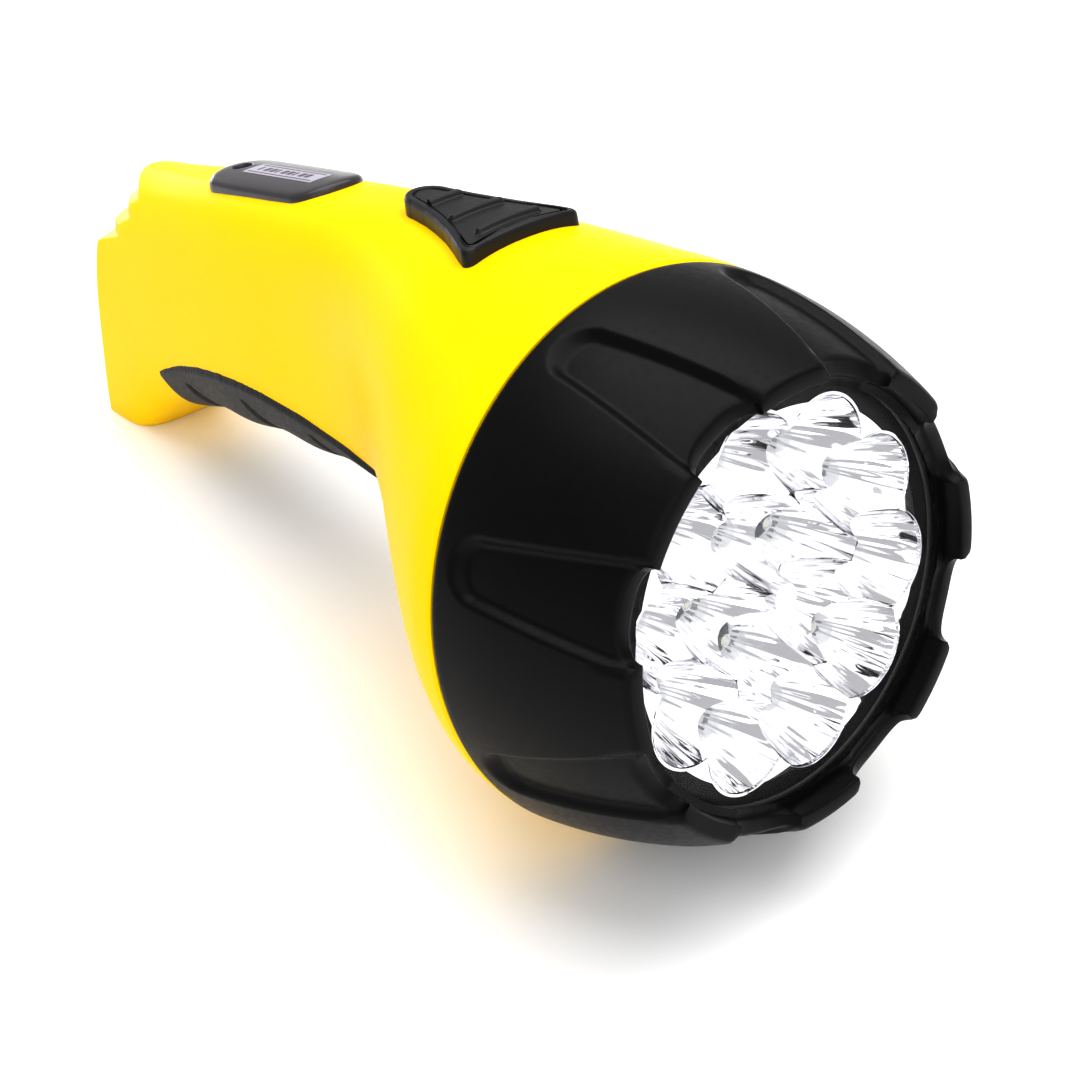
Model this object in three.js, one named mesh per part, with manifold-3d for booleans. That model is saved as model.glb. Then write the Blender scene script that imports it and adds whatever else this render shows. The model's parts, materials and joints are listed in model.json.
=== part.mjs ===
// Handheld rechargeable LED torch with a fluted twist-off bezel, a slide switch and a pull-out mains plug.
//
// Everything is drawn in the beam frame: +X is the beam axis, +Y the left side, +Z up, and X = 0 is the
// joint face between the yellow body and the black bezel. The whole torch is then tilted so that it
// stands on the rim of its head and on the foot under its tail. Units are millimetres.

import * as THREE from 'three';
import { mergeVertices } from 'three/addons/utils/BufferGeometryUtils.js';
import Module from 'manifold-3d';

const wasm = await Module();
wasm.setup();

// ---------------------------------------------------------------- driving dimensions

const GAP = 0.3;                    // between pieces that touch
const WALL = 2.6;                   // moulded wall of the body shells
const TILT = THREE.MathUtils.degToRad(12.6);   // beam axis above the floor when the torch stands

const HEAD_RADIUS = 45;             // head at the joint face, and the bezel's widest circle
const BEZEL_LENGTH = 31.2;
const BEZEL_TAPER = 3.2;            // straight and curved part of the bezel's fall in radius towards its rim
const BEZEL_BULGE = 6.1;
const RIM_BORE = 33;                // inside of the crown-shaped rim
const NOTCHES = 8;
const NOTCH_HALF_ANGLE = THREE.MathUtils.degToRad(11.35);
const NOTCH_DEPTH = 3;
const FLUTE_DEPTH = 1.5;
const FLUTE_EDGE = 2;               // width of the sloped edge round a flute
const FLUTE_REAR = 8;               // centre of a flute's round rear end
const FLUTE_REAR_RADIUS = 5;
const FLUTE_FRONT_HALF = 8.2;       // half width of a flute at the rim

const NECK_RADIUS = 39.6;           // collar that the bezel turns on
const NECK_BORE = 37.2;
const NECK_LENGTH = 8.3;
const BEZEL_BORE = NECK_RADIUS + 0.5;

const LENS_RADIUS = 33.3;
const LENS_FRONT = 27.4;
const LENS_THICKNESS = 1.4;
const LENS_SEAT = LENS_RADIUS + GAP;

const REFLECTOR_FRONT = LENS_FRONT - LENS_THICKNESS - GAP;
const REFLECTOR_RADIUS = 31.6;
const REFLECTOR_FLANGE = 39.2;
const CUP_RADIUS = 8.3;
const CUP_DEPTH = 13;
const CUP_HOLE = 2.8;
const INNER_CUPS = 5;
const INNER_CUP_CIRCLE = 9.8;
const OUTER_CUPS = 10;
const OUTER_CUP_CIRCLE = 22;
const OUTER_CUP_TURN = THREE.MathUtils.degToRad(8.5);

const BOARD_THICKNESS = 1.6;
const LED_RADIUS = 2.5;
const LED_FLANGE = 2.9;
const LED_HEIGHT = 8.6;

const SWITCH_FRONT = -23.5;
const SWITCH_REAR = -50;
const SWITCH_HEIGHT = 2.8;
const SWITCH_TRAVEL = 6;
const SWITCH_STEM = [-40, -34];     // stem under the button, from its rear face to its front face

const PLATE_REAR = -109.5;
const PLATE_FRONT = -73;
const PLATE_HALF_REAR = 7.5;
const PLATE_HALF_FRONT = 7;
const PLATE_PROUD = 1.1;
const PLATE_SUNK = 0.6;
const INDICATOR_X = -106;
const INDICATOR_RADIUS = 1.5;

const GRIP_REAR = -138;
const GRIP_FRONT = -58;
const GRIP_PROUD = 0.9;
const GRIP_SUNK = 1.2;

const PIN_RADIUS = 2;               // two round 4 mm mains pins, 19 mm apart and 19 mm long
const PIN_PITCH = 19;
const PIN_LENGTH = 19;
const PIN_TIP = -154.8;
const PLUG_MIDDLE = 16;             // height of the plug's middle above the beam axis
const PLUG_HALF_WIDTH = 5;
const PLUG_HALF_HEIGHT = PIN_PITCH / 2 + 2.5;
const PLUG_FRONT = -127;
const PLUG_TRAVEL = 19;
const THUMB_STEM = [-134.5, -130];  // stem of the plug's thumb slide, from its rear face to its front face
const THUMB_STEM_HALF = 1.5;        // half height of the stem
const THUMB_HALF = 6;               // half height of the thumb slide's plate

// Sections of the yellow body: x, top, height of the widest line, bottom, half width, and the roundness
// of the upper and lower half, where 2 is an ellipse and larger is squarer.
const SECTIONS = [
  [0, 45, 0, -45, 45, 2, 2],
  [-5, 45.8, 0.6, -44.2, 44.3, 2, 2],
  [-12, 46.5, 2, -41.2, 41.2, 2.05, 2],
  [-20, 47.1, 5, -35.5, 36.5, 2.2, 2],
  [-30, 47.8, 9.5, -26, 30, 2.45, 2.05],
  [-40, 48.3, 14, -16, 24.2, 2.6, 2.1],
  [-50, 48.8, 18, -7.8, 19.2, 2.8, 2.2],
  [-60, 49.1, 21, -3, 16, 3.1, 2.4],
  [-72, 49, 22.5, -0.8, 14.3, 3.4, 2.6],
  [-100, 48.4, 22.5, 0, 13.7, 3.1, 2.7],
  [-128, 47, 21, -0.6, 13.3, 2.5, 2.9],
  [-140, 46.8, 18, -3, 13.1, 2.4, 3.6],
  [-150, 46.6, 15, -9, 13, 2.4, 4.5],
  [-158, 46.5, 13, -15, 12.9, 2.5, 5],
  [-172, 46.4, 12, -20, 12.7, 2.6, 5],
];

// ---------------------------------------------------------------- materials

function plastic(color, roughness) {
  return new THREE.MeshStandardMaterial({ color, roughness, metalness: 0 });
}

function metal(color, roughness) {
  return new THREE.MeshStandardMaterial({ color, roughness, metalness: 1 });
}

const YELLOW = plastic(0xffd800, 0.4);
const BLACK = plastic(0x1c1b1e, 0.5);
const GREY_GLOSS = plastic(0x423f42, 0.2);
const RUBBER = plastic(0x2a2a2c, 0.8);
const STICKER = plastic(0xd8d4dc, 0.5);
const CHROME = metal(0xe8e8ec, 0.08);
const STEEL = metal(0xb8b8bc, 0.3);
const BRASS = metal(0xc8a850, 0.35);
const BOARD_WHITE = plastic(0xe8e8e4, 0.6);
const BOARD_GREEN = plastic(0x1e6a3a, 0.5);
const BATTERY_GREY = plastic(0x55585c, 0.6);
const RED_WIRE = plastic(0xb01818, 0.5);
const BLACK_WIRE = plastic(0x181818, 0.5);
const CLEAR = new THREE.MeshStandardMaterial({
  color: 0xf4f8ff, roughness: 0.05, transparent: true, opacity: 0.35,
});
const LED_CLEAR = plastic(0xf6f8fc, 0.1);
const GREEN_LENS = plastic(0x2f7f4f, 0.2);

// ---------------------------------------------------------------- solids

function solid(geometry) {
  const bare = geometry.index ? geometry.clone() : geometry;
  bare.deleteAttribute('normal');
  bare.deleteAttribute('uv');
  const merged = mergeVertices(bare, 1e-4);
  return new wasm.Manifold(new wasm.Mesh({
    numProp: 3,
    vertProperties: Float32Array.from(merged.attributes.position.array),
    triVerts: Uint32Array.from(merged.index.array),
  }));
}

function shape(manifold) {
  const mesh = manifold.getMesh();
  const geometry = new THREE.BufferGeometry();
  geometry.setAttribute('position', new THREE.Float32BufferAttribute(mesh.vertProperties, 3));
  geometry.setIndex(Array.from(mesh.triVerts));
  geometry.computeVertexNormals();
  return geometry;
}

function box(x, y, z) {
  const geometry = new THREE.BoxGeometry(x[1] - x[0], y[1] - y[0], z[1] - z[0]);
  geometry.translate((x[0] + x[1]) / 2, (y[0] + y[1]) / 2, (z[0] + z[1]) / 2);
  return solid(geometry);
}

// A turned piece on the beam axis: points are [x, radius], in order, from axis to axis or closed.
function turned(points, segments = 48) {
  const profile = points.map(([x, radius]) => new THREE.Vector2(radius, x));
  const geometry = new THREE.LatheGeometry(profile, segments);
  geometry.rotateZ(-Math.PI / 2);
  return solid(geometry);
}

function disc(radius, from, to, segments = 48) {
  return turned([[from, 0], [from, radius], [to, radius], [to, 0]], segments);
}

function ring(bore, radius, from, to, segments = 48) {
  return turned([[from, bore], [from, radius], [to, radius], [to, bore], [from, bore]], segments);
}

// A rod across the torch, from one side to the other, centred at [x, z].
function crossRod(x, z, radius, fromY, toY, segments = 14) {
  const geometry = new THREE.CylinderGeometry(radius, radius, toY - fromY, segments);
  geometry.translate(x, (fromY + toY) / 2, z);
  return solid(geometry);
}

// A side-view outline of [x, z] points, extruded across the torch.
function sidePrism(points, halfWidth = 60) {
  const outline = new THREE.Shape(points.map(([x, z]) => new THREE.Vector2(x, z)));
  const geometry = new THREE.ExtrudeGeometry(outline, { depth: 2 * halfWidth, bevelEnabled: false });
  geometry.rotateX(Math.PI / 2);
  geometry.translate(0, halfWidth, 0);
  return solid(geometry);
}

// A top-view outline, extruded upwards.
function topPrism(outline, from, to) {
  const geometry = new THREE.ExtrudeGeometry(outline, { depth: to - from, bevelEnabled: false, curveSegments: 6 });
  geometry.translate(0, 0, from);
  return solid(geometry);
}

function union(pieces) {
  return pieces.reduce((sum, piece) => sum.add(piece));
}

// ---------------------------------------------------------------- body surface

// A smooth value between the rows of SECTIONS, with each row's slope taken from its neighbours.
function sectionAt(x) {
  let row = 0;
  while (row < SECTIONS.length - 2 && x < SECTIONS[row + 1][0]) row += 1;
  const [before, start, end, after] = [-1, 0, 1, 2].map((step) => {
    const index = THREE.MathUtils.clamp(row + step, 0, SECTIONS.length - 1);
    return SECTIONS[index];
  });
  const span = end[0] - start[0];
  const t = THREE.MathUtils.clamp((x - start[0]) / span, 0, 1);
  return start.slice(1).map((value, index) => {
    const column = index + 1;
    const slopeIn = (end[column] - before[column]) / (end[0] - before[0]);
    const slopeOut = (after[column] - start[column]) / (after[0] - start[0]);
    const easeIn = t * (1 - t) * (1 - t) * slopeIn * span;
    const easeOut = t * t * (t - 1) * slopeOut * span;
    const blend = t * t * (3 - 2 * t);
    return value + (end[column] - value) * blend + easeIn + easeOut;
  });
}

function bodyPoint(x, turn, offset) {
  const [top, middle, bottom, half, roundTop, roundBottom] = sectionAt(x);
  const c = Math.cos(turn);
  const s = Math.sin(turn);
  const power = 2 / (s > 0 ? roundTop : roundBottom);
  const height = (s > 0 ? top - middle : middle - bottom) + offset;
  return [
    x,
    (half + offset) * Math.sign(c) * Math.abs(c) ** power,
    middle + height * Math.sign(s) * Math.abs(s) ** power,
  ];
}

// The body's outer surface grown by offset, as a closed solid from x = rear to x = front.
function bodyLoft(offset, { rear = -172, front = 0, rows = 20, columns = 32 } = {}) {
  const positions = [];
  const index = [];
  for (let row = 0; row <= rows; row += 1) {
    const x = rear + (front - rear) * (row / rows) ** 0.85;
    for (let column = 0; column < columns; column += 1) {
      positions.push(...bodyPoint(x, (2 * Math.PI * column) / columns, offset));
    }
  }
  const at = (row, column) => row * columns + (column % columns);
  for (let row = 0; row < rows; row += 1) {
    for (let column = 0; column < columns; column += 1) {
      index.push(at(row, column), at(row + 1, column + 1), at(row + 1, column));
      index.push(at(row, column), at(row, column + 1), at(row + 1, column + 1));
    }
  }
  const rearCentre = positions.length / 3;
  positions.push(rear, 0, sectionAt(rear)[1]);
  positions.push(front, 0, sectionAt(front)[1]);
  for (let column = 0; column < columns; column += 1) {
    index.push(rearCentre, at(0, column + 1), at(0, column));
    index.push(rearCentre + 1, at(rows, column), at(rows, column + 1));
  }
  const geometry = new THREE.BufferGeometry();
  geometry.setAttribute('position', new THREE.Float32BufferAttribute(positions, 3));
  geometry.setIndex(index);
  return solid(geometry);
}

// Height of the beam axis at x = 0 over the floor: the head's lowest point rests on the floor.
function restHeight() {
  let height = 0;
  for (let x = -12; x <= 0; x += 0.5) {
    const bottom = sectionAt(x)[2];
    height = Math.max(height, -x * Math.sin(TILT) - bottom * Math.cos(TILT));
  }
  return height;
}

const REST_HEIGHT = restHeight();

// Height in the beam frame of a level plane that is `above` the floor.
function levelAt(x, above) {
  return (above - REST_HEIGHT - x * Math.sin(TILT)) / Math.cos(TILT);
}

// Side view of the tail: three thumb steps down the top corner, the rear wall and the flat sole.
const STEP_TOP = [-134, 46.9];
const STEPS = [[2.3, 1.1, 3.4], [4.2, 1.2, 1.8], [12.9, 4, 1.9]];    // tread length, fall along it, riser
const SOLE_REAR = -167.5;

function tailOutline(inset) {
  const points = [[2, 60], [STEP_TOP[0] + inset, 60]];
  let [x, z] = STEP_TOP;
  for (const [tread, fall, riser] of STEPS) {
    z -= riser;
    points.push([x + inset, z - inset]);
    x -= tread;
    z -= fall;
    points.push([x + inset, z - inset]);
  }
  points.push([SOLE_REAR + inset, levelAt(SOLE_REAR, inset)]);
  points.push([2, levelAt(2, inset)]);
  return points;
}

// ---------------------------------------------------------------- body shells

const SCREWS = [[-48, 3], [-124, 38], [-153, -2.5], [-24, -20], [-14, 36]];   // [x, z] of the five screws
const SCREW_SEAT_DEPTH = 3;         // how deep a head sits below the surface
const SCREW_BOSS = 3.5;
const SCREW_HEAD = 2.8;
const SCREW_SHANK = 1.2;

function halfWidthAt(x, z) {
  const [top, middle, bottom, half, roundTop, roundBottom] = sectionAt(x);
  const height = z > middle ? (z - middle) / (top - middle) : (middle - z) / (middle - bottom);
  const round = z > middle ? roundTop : roundBottom;
  return half * (1 - height ** round) ** (1 / round);
}

function plateOutline(grow) {
  const outline = new THREE.Shape();
  const rear = PLATE_REAR - grow;
  const front = PLATE_FRONT + grow;
  const halfRear = PLATE_HALF_REAR + grow;
  const halfFront = PLATE_HALF_FRONT + grow;
  outline.moveTo(rear, -halfRear + 3.5);
  outline.quadraticCurveTo(rear + 0.3, -halfRear, rear + 4, -halfRear);
  outline.lineTo(front - 4, -halfFront);
  outline.bezierCurveTo(front - 1, -halfFront, front, -halfFront / 2, front, 0);
  outline.bezierCurveTo(front, halfFront / 2, front - 1, halfFront, front - 4, halfFront);
  outline.lineTo(rear + 4, halfRear);
  outline.quadraticCurveTo(rear + 0.3, halfRear, rear, halfRear - 3.5);
  outline.closePath();
  return outline;
}

function gripOutline(grow) {
  const upper = new THREE.SplineCurve([
    new THREE.Vector2(GRIP_REAR - grow, 3.5),
    new THREE.Vector2(-123, 10.2 + grow),
    new THREE.Vector2(-107, 12 + grow),
    new THREE.Vector2(-92, 11.2 + grow),
    new THREE.Vector2(-72, 6.8 + grow),
    new THREE.Vector2(GRIP_FRONT + grow, -1),
  ]);
  const points = upper.getPoints(12).map((point) => [point.x, point.y]);
  points.push([GRIP_FRONT + grow, -16], [GRIP_REAR - grow, -16]);
  return points;
}

function bodySolid() {
  const outside = bodyLoft(0).intersect(sidePrism(tailOutline(0)));
  const collar = disc(NECK_RADIUS, -2.8, NECK_LENGTH);
  const frontWall = disc(HEAD_RADIUS - 1.5, -WALL, -0.4);
  const cavity = bodyLoft(-WALL, { front: -WALL, rows: 12, columns: 20 });
  const inside = cavity.intersect(sidePrism(tailOutline(WALL)));
  return outside.add(collar).add(frontWall).subtract(inside).subtract(disc(NECK_BORE, -4, 10));
}

function bodyCuts() {
  const plateSeat = topPrism(plateOutline(GAP), 30, 60).subtract(bodyLoft(-PLATE_SUNK - GAP));
  const grip = bodyLoft(GRIP_PROUD + 2).subtract(bodyLoft(-GRIP_SUNK - GAP));
  const gripSeat = grip.intersect(sidePrism(gripOutline(GAP)));
  const slot = box([SWITCH_STEM[0] - 1, SWITCH_STEM[1] + SWITCH_TRAVEL + 1], [-3.2, 3.2], [42, 60]);
  const half = PLUG_HALF_WIDTH + GAP;
  const tall = PLUG_HALF_HEIGHT + GAP;
  const window = box([-175, -150], [-half, half], [PLUG_MIDDLE - tall, PLUG_MIDDLE + tall]);
  const indicator = box([INDICATOR_X - 2, INDICATOR_X + 2], [-2, 2], [40, 60]);
  return union([plateSeat, gripSeat, slot, window, indicator]);
}

function bossReach(x, z) {
  return halfWidthAt(x, z) - SCREW_SEAT_DEPTH;
}

const body = bodySolid();
const cuts = bodyCuts();
// Keeps the screw bosses under the surface.
const core = bodyLoft(-1, { rows: 16, columns: 24 }).intersect(sidePrism(tailOutline(1)));

function rightShell() {
  let shell = body.intersect(box([-200, 20], [-60, -GAP / 2], [-80, 80])).subtract(cuts);
  for (const [x, z] of SCREWS) {
    const boss = crossRod(x, z, SCREW_BOSS, -60, -GAP / 2);
    shell = shell.add(boss.intersect(core));
    shell = shell.subtract(crossRod(x, z, SCREW_SHANK + GAP, -9, 1, 8));
  }
  return shell;
}

function leftShell() {
  let shell = body.intersect(box([-200, 20], [GAP / 2, 60], [-80, 80])).subtract(cuts);
  const slotHalf = THUMB_STEM_HALF + GAP;
  const slotRange = [THUMB_STEM[0] - PLUG_TRAVEL - 0.5, THUMB_STEM[1] + 0.5];
  const slot = box(slotRange, [8, 20], [PLUG_MIDDLE - slotHalf, PLUG_MIDDLE + slotHalf]);
  shell = shell.subtract(slot);
  for (const [x, z] of SCREWS) {
    const reach = bossReach(x, z);
    const boss = crossRod(x, z, SCREW_BOSS + 0.6, GAP / 2, 60);
    shell = shell.add(boss.intersect(core));
    shell = shell.subtract(crossRod(x, z, SCREW_HEAD + 0.4, reach - 2, 60, 12));
    shell = shell.subtract(crossRod(x, z, SCREW_SHANK + 0.5, -1, reach, 8));
  }
  return shell;
}

// ---------------------------------------------------------------- pieces on the body

function grip() {
  const skin = bodyLoft(GRIP_PROUD).subtract(bodyLoft(-GRIP_SUNK));
  return skin.intersect(sidePrism(gripOutline(0)));
}

function labelPlate() {
  const skin = bodyLoft(PLATE_PROUD).subtract(bodyLoft(-PLATE_SUNK));
  const hole = box([INDICATOR_X - 1.9, INDICATOR_X + 1.9], [-1.9, 1.9], [40, 60]);
  return skin.intersect(topPrism(plateOutline(0), 35, 60)).subtract(hole);
}

function sticker() {
  const skin = bodyLoft(PLATE_PROUD + GAP + 0.25).subtract(bodyLoft(PLATE_PROUD + 0.05));
  return skin.intersect(box([-102, -78.5], [-2.5, 2.5], [40, 60]));
}

function indicator() {
  const light = new THREE.CylinderGeometry(INDICATOR_RADIUS, INDICATOR_RADIUS, 5.4, 16);
  light.rotateX(Math.PI / 2);
  light.translate(INDICATOR_X, 0, 46.6);
  return solid(light);
}

// ---------------------------------------------------------------- slide switch

function buttonOutline() {
  const outline = new THREE.Shape();
  const rear = SWITCH_REAR;
  const front = SWITCH_FRONT;
  outline.moveTo(rear, -2.4);
  outline.quadraticCurveTo(rear, -4.7, rear + 2.8, -4.5);
  outline.bezierCurveTo(rear + 13, -4, rear + 20, -9, front - 2.6, -10.9);
  outline.quadraticCurveTo(front, -11.2, front, -9.4);
  outline.lineTo(front, 9.4);
  outline.quadraticCurveTo(front, 11.2, front - 2.6, 10.9);
  outline.bezierCurveTo(rear + 20, 9, rear + 13, 4, rear + 2.8, 4.5);
  outline.quadraticCurveTo(rear, 4.7, rear, 2.4);
  outline.closePath();
  return outline;
}

function panOutline() {
  const outline = new THREE.Shape();
  outline.moveTo(SWITCH_REAR + 2, -2.4);
  outline.bezierCurveTo(SWITCH_REAR + 13, -3.2, SWITCH_REAR + 19, -7.2, SWITCH_FRONT - 1.3, -9.3);
  outline.lineTo(SWITCH_FRONT - 1.3, 9.3);
  outline.bezierCurveTo(SWITCH_REAR + 19, 7.2, SWITCH_REAR + 13, 3.2, SWITCH_REAR + 2, 2.4);
  outline.closePath();
  return outline;
}

const RIBS = [[-42.8, 3.2], [-34.5, 4.6], [-26.8, 6.2]];     // x and half length of the three thumb ribs

function switchButton() {
  const cap = bodyLoft(SWITCH_HEIGHT).subtract(bodyLoft(0.4)).intersect(topPrism(buttonOutline(), 30, 60));
  const pan = topPrism(panOutline(), 30, 60).subtract(bodyLoft(SWITCH_HEIGHT - 0.7));
  const [rear, front] = SWITCH_STEM;
  const stem = box([rear, front], [-2.6, 2.6], [39.6, 49.4]);
  const pocket = box([rear + 1.4, front - 1.4], [-1.4, 1.4], [39, 42.5]);
  let button = cap.subtract(pan).add(stem).subtract(pocket);
  for (const [x, half] of RIBS) {
    const rib = box([x - 0.7, x + 0.7], [-half, half], [46, 60]);
    button = button.add(rib.intersect(bodyLoft(SWITCH_HEIGHT + 0.3)).subtract(bodyLoft(1)));
  }
  return button;
}

// ---------------------------------------------------------------- bezel

function bezelSide(x) {
  const along = x / BEZEL_LENGTH;
  return HEAD_RADIUS - BEZEL_TAPER * along - BEZEL_BULGE * along * along;
}

// How far a point of the bezel's side lies inside the nearest flute's outline, in millimetres.
function insideFlute(x, arc) {
  if (x < FLUTE_REAR) {
    return FLUTE_REAR_RADIUS - Math.hypot(x - FLUTE_REAR, arc);
  }
  const along = (x - FLUTE_REAR) / (BEZEL_LENGTH - FLUTE_REAR);
  return THREE.MathUtils.lerp(FLUTE_REAR_RADIUS, FLUTE_FRONT_HALF, along) - Math.abs(arc);
}

function bezelRadius(x, angleFromNotch) {
  const radius = bezelSide(x);
  const inside = insideFlute(x, radius * angleFromNotch);
  return radius - FLUTE_DEPTH * THREE.MathUtils.smoothstep(inside, 0, FLUTE_EDGE);
}

function rimAt(angleFromNotch) {
  const across = Math.min(Math.abs(angleFromNotch) / NOTCH_HALF_ANGLE, 1);
  return BEZEL_LENGTH - NOTCH_DEPTH * (1 - across ** 3) ** (1 / 2.2);
}

// The bezel is one closed grid: columns round the beam axis, rows along its section.
function bezel() {
  const steps = [-1, -0.94, -0.72, 0, 0.72, 0.94, 1, 1.98];
  const rear = GAP;
  const innerRows = [
    [27.9, 32.6], [27.9, 31.9], [27.7, 31.9], [LENS_FRONT + GAP / 3, LENS_SEAT], [24.2, LENS_SEAT],
    [22, 35.6], [9.5, BEZEL_BORE], [rear, BEZEL_BORE],
  ];
  const outerX = [rear, 3, 5, 8, 16, 24];
  const rows = outerX.length + 2 + innerRows.length;
  const positions = [];
  for (let notch = 0; notch < NOTCHES; notch += 1) {
    for (const step of steps) {
      const offset = step * NOTCH_HALF_ANGLE;
      const toNearest = offset > Math.PI / NOTCHES ? offset - (2 * Math.PI) / NOTCHES : offset;
      const angle = ((notch + 0.5) * 2 * Math.PI) / NOTCHES + offset;
      const rim = rimAt(toNearest);
      const section = outerX.map((x) => [x, bezelRadius(x, toNearest)]);
      section.push([rim, bezelRadius(rim, toNearest)], [rim, RIM_BORE], ...innerRows);
      for (const [x, radius] of section) {
        positions.push(x, -radius * Math.sin(angle), radius * Math.cos(angle));
      }
    }
  }
  const columns = NOTCHES * steps.length;
  const index = [];
  const at = (column, row) => (column % columns) * rows + (row % rows);
  for (let column = 0; column < columns; column += 1) {
    for (let row = 0; row < rows; row += 1) {
      index.push(at(column, row), at(column + 1, row), at(column + 1, row + 1));
      index.push(at(column, row), at(column + 1, row + 1), at(column, row + 1));
    }
  }
  const geometry = new THREE.BufferGeometry();
  geometry.setAttribute('position', new THREE.Float32BufferAttribute(positions, 3));
  geometry.setIndex(index);
  return solid(geometry);
}

// ---------------------------------------------------------------- reflector and light

function cupCentres() {
  const centres = [];
  for (let cup = 0; cup < INNER_CUPS; cup += 1) {
    const angle = (2 * Math.PI * (cup + 0.5)) / INNER_CUPS;
    centres.push([INNER_CUP_CIRCLE * Math.cos(angle), INNER_CUP_CIRCLE * Math.sin(angle)]);
  }
  for (let cup = 0; cup < OUTER_CUPS; cup += 1) {
    const angle = (2 * Math.PI * (cup + 0.5)) / OUTER_CUPS + OUTER_CUP_TURN;
    centres.push([OUTER_CUP_CIRCLE * Math.cos(angle), OUTER_CUP_CIRCLE * Math.sin(angle)]);
  }
  return centres;
}

const CUPS = cupCentres();
const CUP_FLOOR = REFLECTOR_FRONT - CUP_DEPTH;
const BOARD_FRONT = CUP_FLOOR - 3;
const REFLECTOR_REAR = CUP_FLOOR - 1.4;

// A parabolic cup: its radius squared grows evenly from the lamp hole to the mouth.
function cupProfile(steps) {
  const points = [[CUP_FLOOR - 4, 0], [CUP_FLOOR - 4, CUP_HOLE]];
  for (let step = 0; step <= steps; step += 1) {
    const x = CUP_FLOOR + (CUP_DEPTH * step) / steps;
    points.push([x, Math.sqrt(CUP_HOLE ** 2 + ((CUP_RADIUS ** 2 - CUP_HOLE ** 2) * step) / steps)]);
  }
  points.push([REFLECTOR_FRONT + 1, CUP_RADIUS + 0.2], [REFLECTOR_FRONT + 1, 0]);
  return points;
}

function reflector() {
  const flangeRear = NECK_LENGTH + GAP;
  const outside = turned([
    [REFLECTOR_REAR, 0], [REFLECTOR_FRONT, 0], [REFLECTOR_FRONT, REFLECTOR_RADIUS],
    [flangeRear + 1.6, 33.6], [flangeRear + 1.6, REFLECTOR_FLANGE], [flangeRear, REFLECTOR_FLANGE],
    [flangeRear, 31.5], [REFLECTOR_REAR, 31.5], [REFLECTOR_REAR, 0],
  ].reverse());
  const cup = turned(cupProfile(3), 14);
  return CUPS.reduce((rest, [y, z]) => rest.subtract(cup.translate([0, y, z])), outside);
}

function ledGeometry() {
  const points = [[0, 0], [0, LED_FLANGE], [1, LED_FLANGE], [1, LED_RADIUS]];
  const straight = LED_HEIGHT - LED_RADIUS;
  for (let step = 0; step <= 2; step += 1) {
    const angle = (Math.PI / 2) * (step / 2);
    points.push([straight + LED_RADIUS * Math.sin(angle), LED_RADIUS * Math.cos(angle)]);
  }
  return shape(turned(points, 8));
}

// ---------------------------------------------------------------- leads

// An insulated lead along points, as an eight-sided tube with closed ends.
function lead(points, radius) {
  const path = new THREE.CatmullRomCurve3(points.map((point) => new THREE.Vector3(...point)));
  const section = new THREE.Shape();
  section.absarc(0, 0, radius, 0, 2 * Math.PI);
  const steps = Math.min(60, Math.ceil(path.getLength() / (6 * radius)));
  return new THREE.ExtrudeGeometry(section, { steps, extrudePath: path, curveSegments: 3 });
}

// ---------------------------------------------------------------- assembly

const torch = new THREE.Group();

function place(name, geometry, material, position = [0, 0, 0]) {
  const mesh = new THREE.Mesh(geometry, material);
  mesh.name = name;
  mesh.position.set(...position);
  torch.add(mesh);
  return mesh;
}

place('shell_right', shape(rightShell()), YELLOW);
place('shell_left', shape(leftShell()), YELLOW);
place('grip_insert', shape(grip()), RUBBER);
place('label_plate', shape(labelPlate()), GREY_GLOSS);
place('label_sticker', shape(sticker()), STICKER);
place('charge_indicator', shape(indicator()), GREEN_LENS);

const lensRear = LENS_FRONT - LENS_THICKNESS;
place('bezel', shape(bezel()), BLACK);
place('lens', shape(disc(LENS_RADIUS, lensRear, LENS_FRONT)), CLEAR);
const gasket = ring(REFLECTOR_RADIUS + GAP, LENS_RADIUS - 0.1, lensRear - 1.4, lensRear - GAP);
place('lens_gasket', shape(gasket), RUBBER);

place('reflector', shape(reflector()), CHROME);
place('led_board', shape(disc(31, BOARD_FRONT - BOARD_THICKNESS, BOARD_FRONT, 48)), BOARD_WHITE);
const led = ledGeometry();
CUPS.forEach(([y, z], number) => {
  place(`led_${String(number + 1).padStart(2, '0')}`, led, LED_CLEAR, [BOARD_FRONT + GAP, y, z]);
});

// Slide switch: the button outside, and the electrical switch that it works on the driver board.
const boardTop = 32.8;
const leverX = (SWITCH_STEM[0] + SWITCH_STEM[1]) / 2;
place('switch_button', shape(switchButton()), BLACK);
place('switch_lever', shape(box([leverX - 1.3, leverX + 1.3], [-1.1, 1.1], [38.7, 42.2])), BLACK);
place('slide_switch', shape(box([-44, -26], [-3.6, 3.6], [boardTop + GAP, 38.4])), STEEL);
place('driver_board', shape(box([-58, -25], [-9, 9], [boardTop - BOARD_THICKNESS, boardTop])), BOARD_GREEN);

// Sealed battery in the handle, with its two tabs facing the driver board.
const batteryFront = -64;
place('battery', shape(box([-116, batteryFront], [-8.8, 8.8], [8.5, 36])), BATTERY_GREY);
for (const [name, y] of [['battery_tab_positive', -6], ['battery_tab_negative', 6]]) {
  place(name, shape(box([batteryFront + GAP, batteryFront + 1], [y - 1.2, y + 1.2], [24, 31])), STEEL);
}

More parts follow.
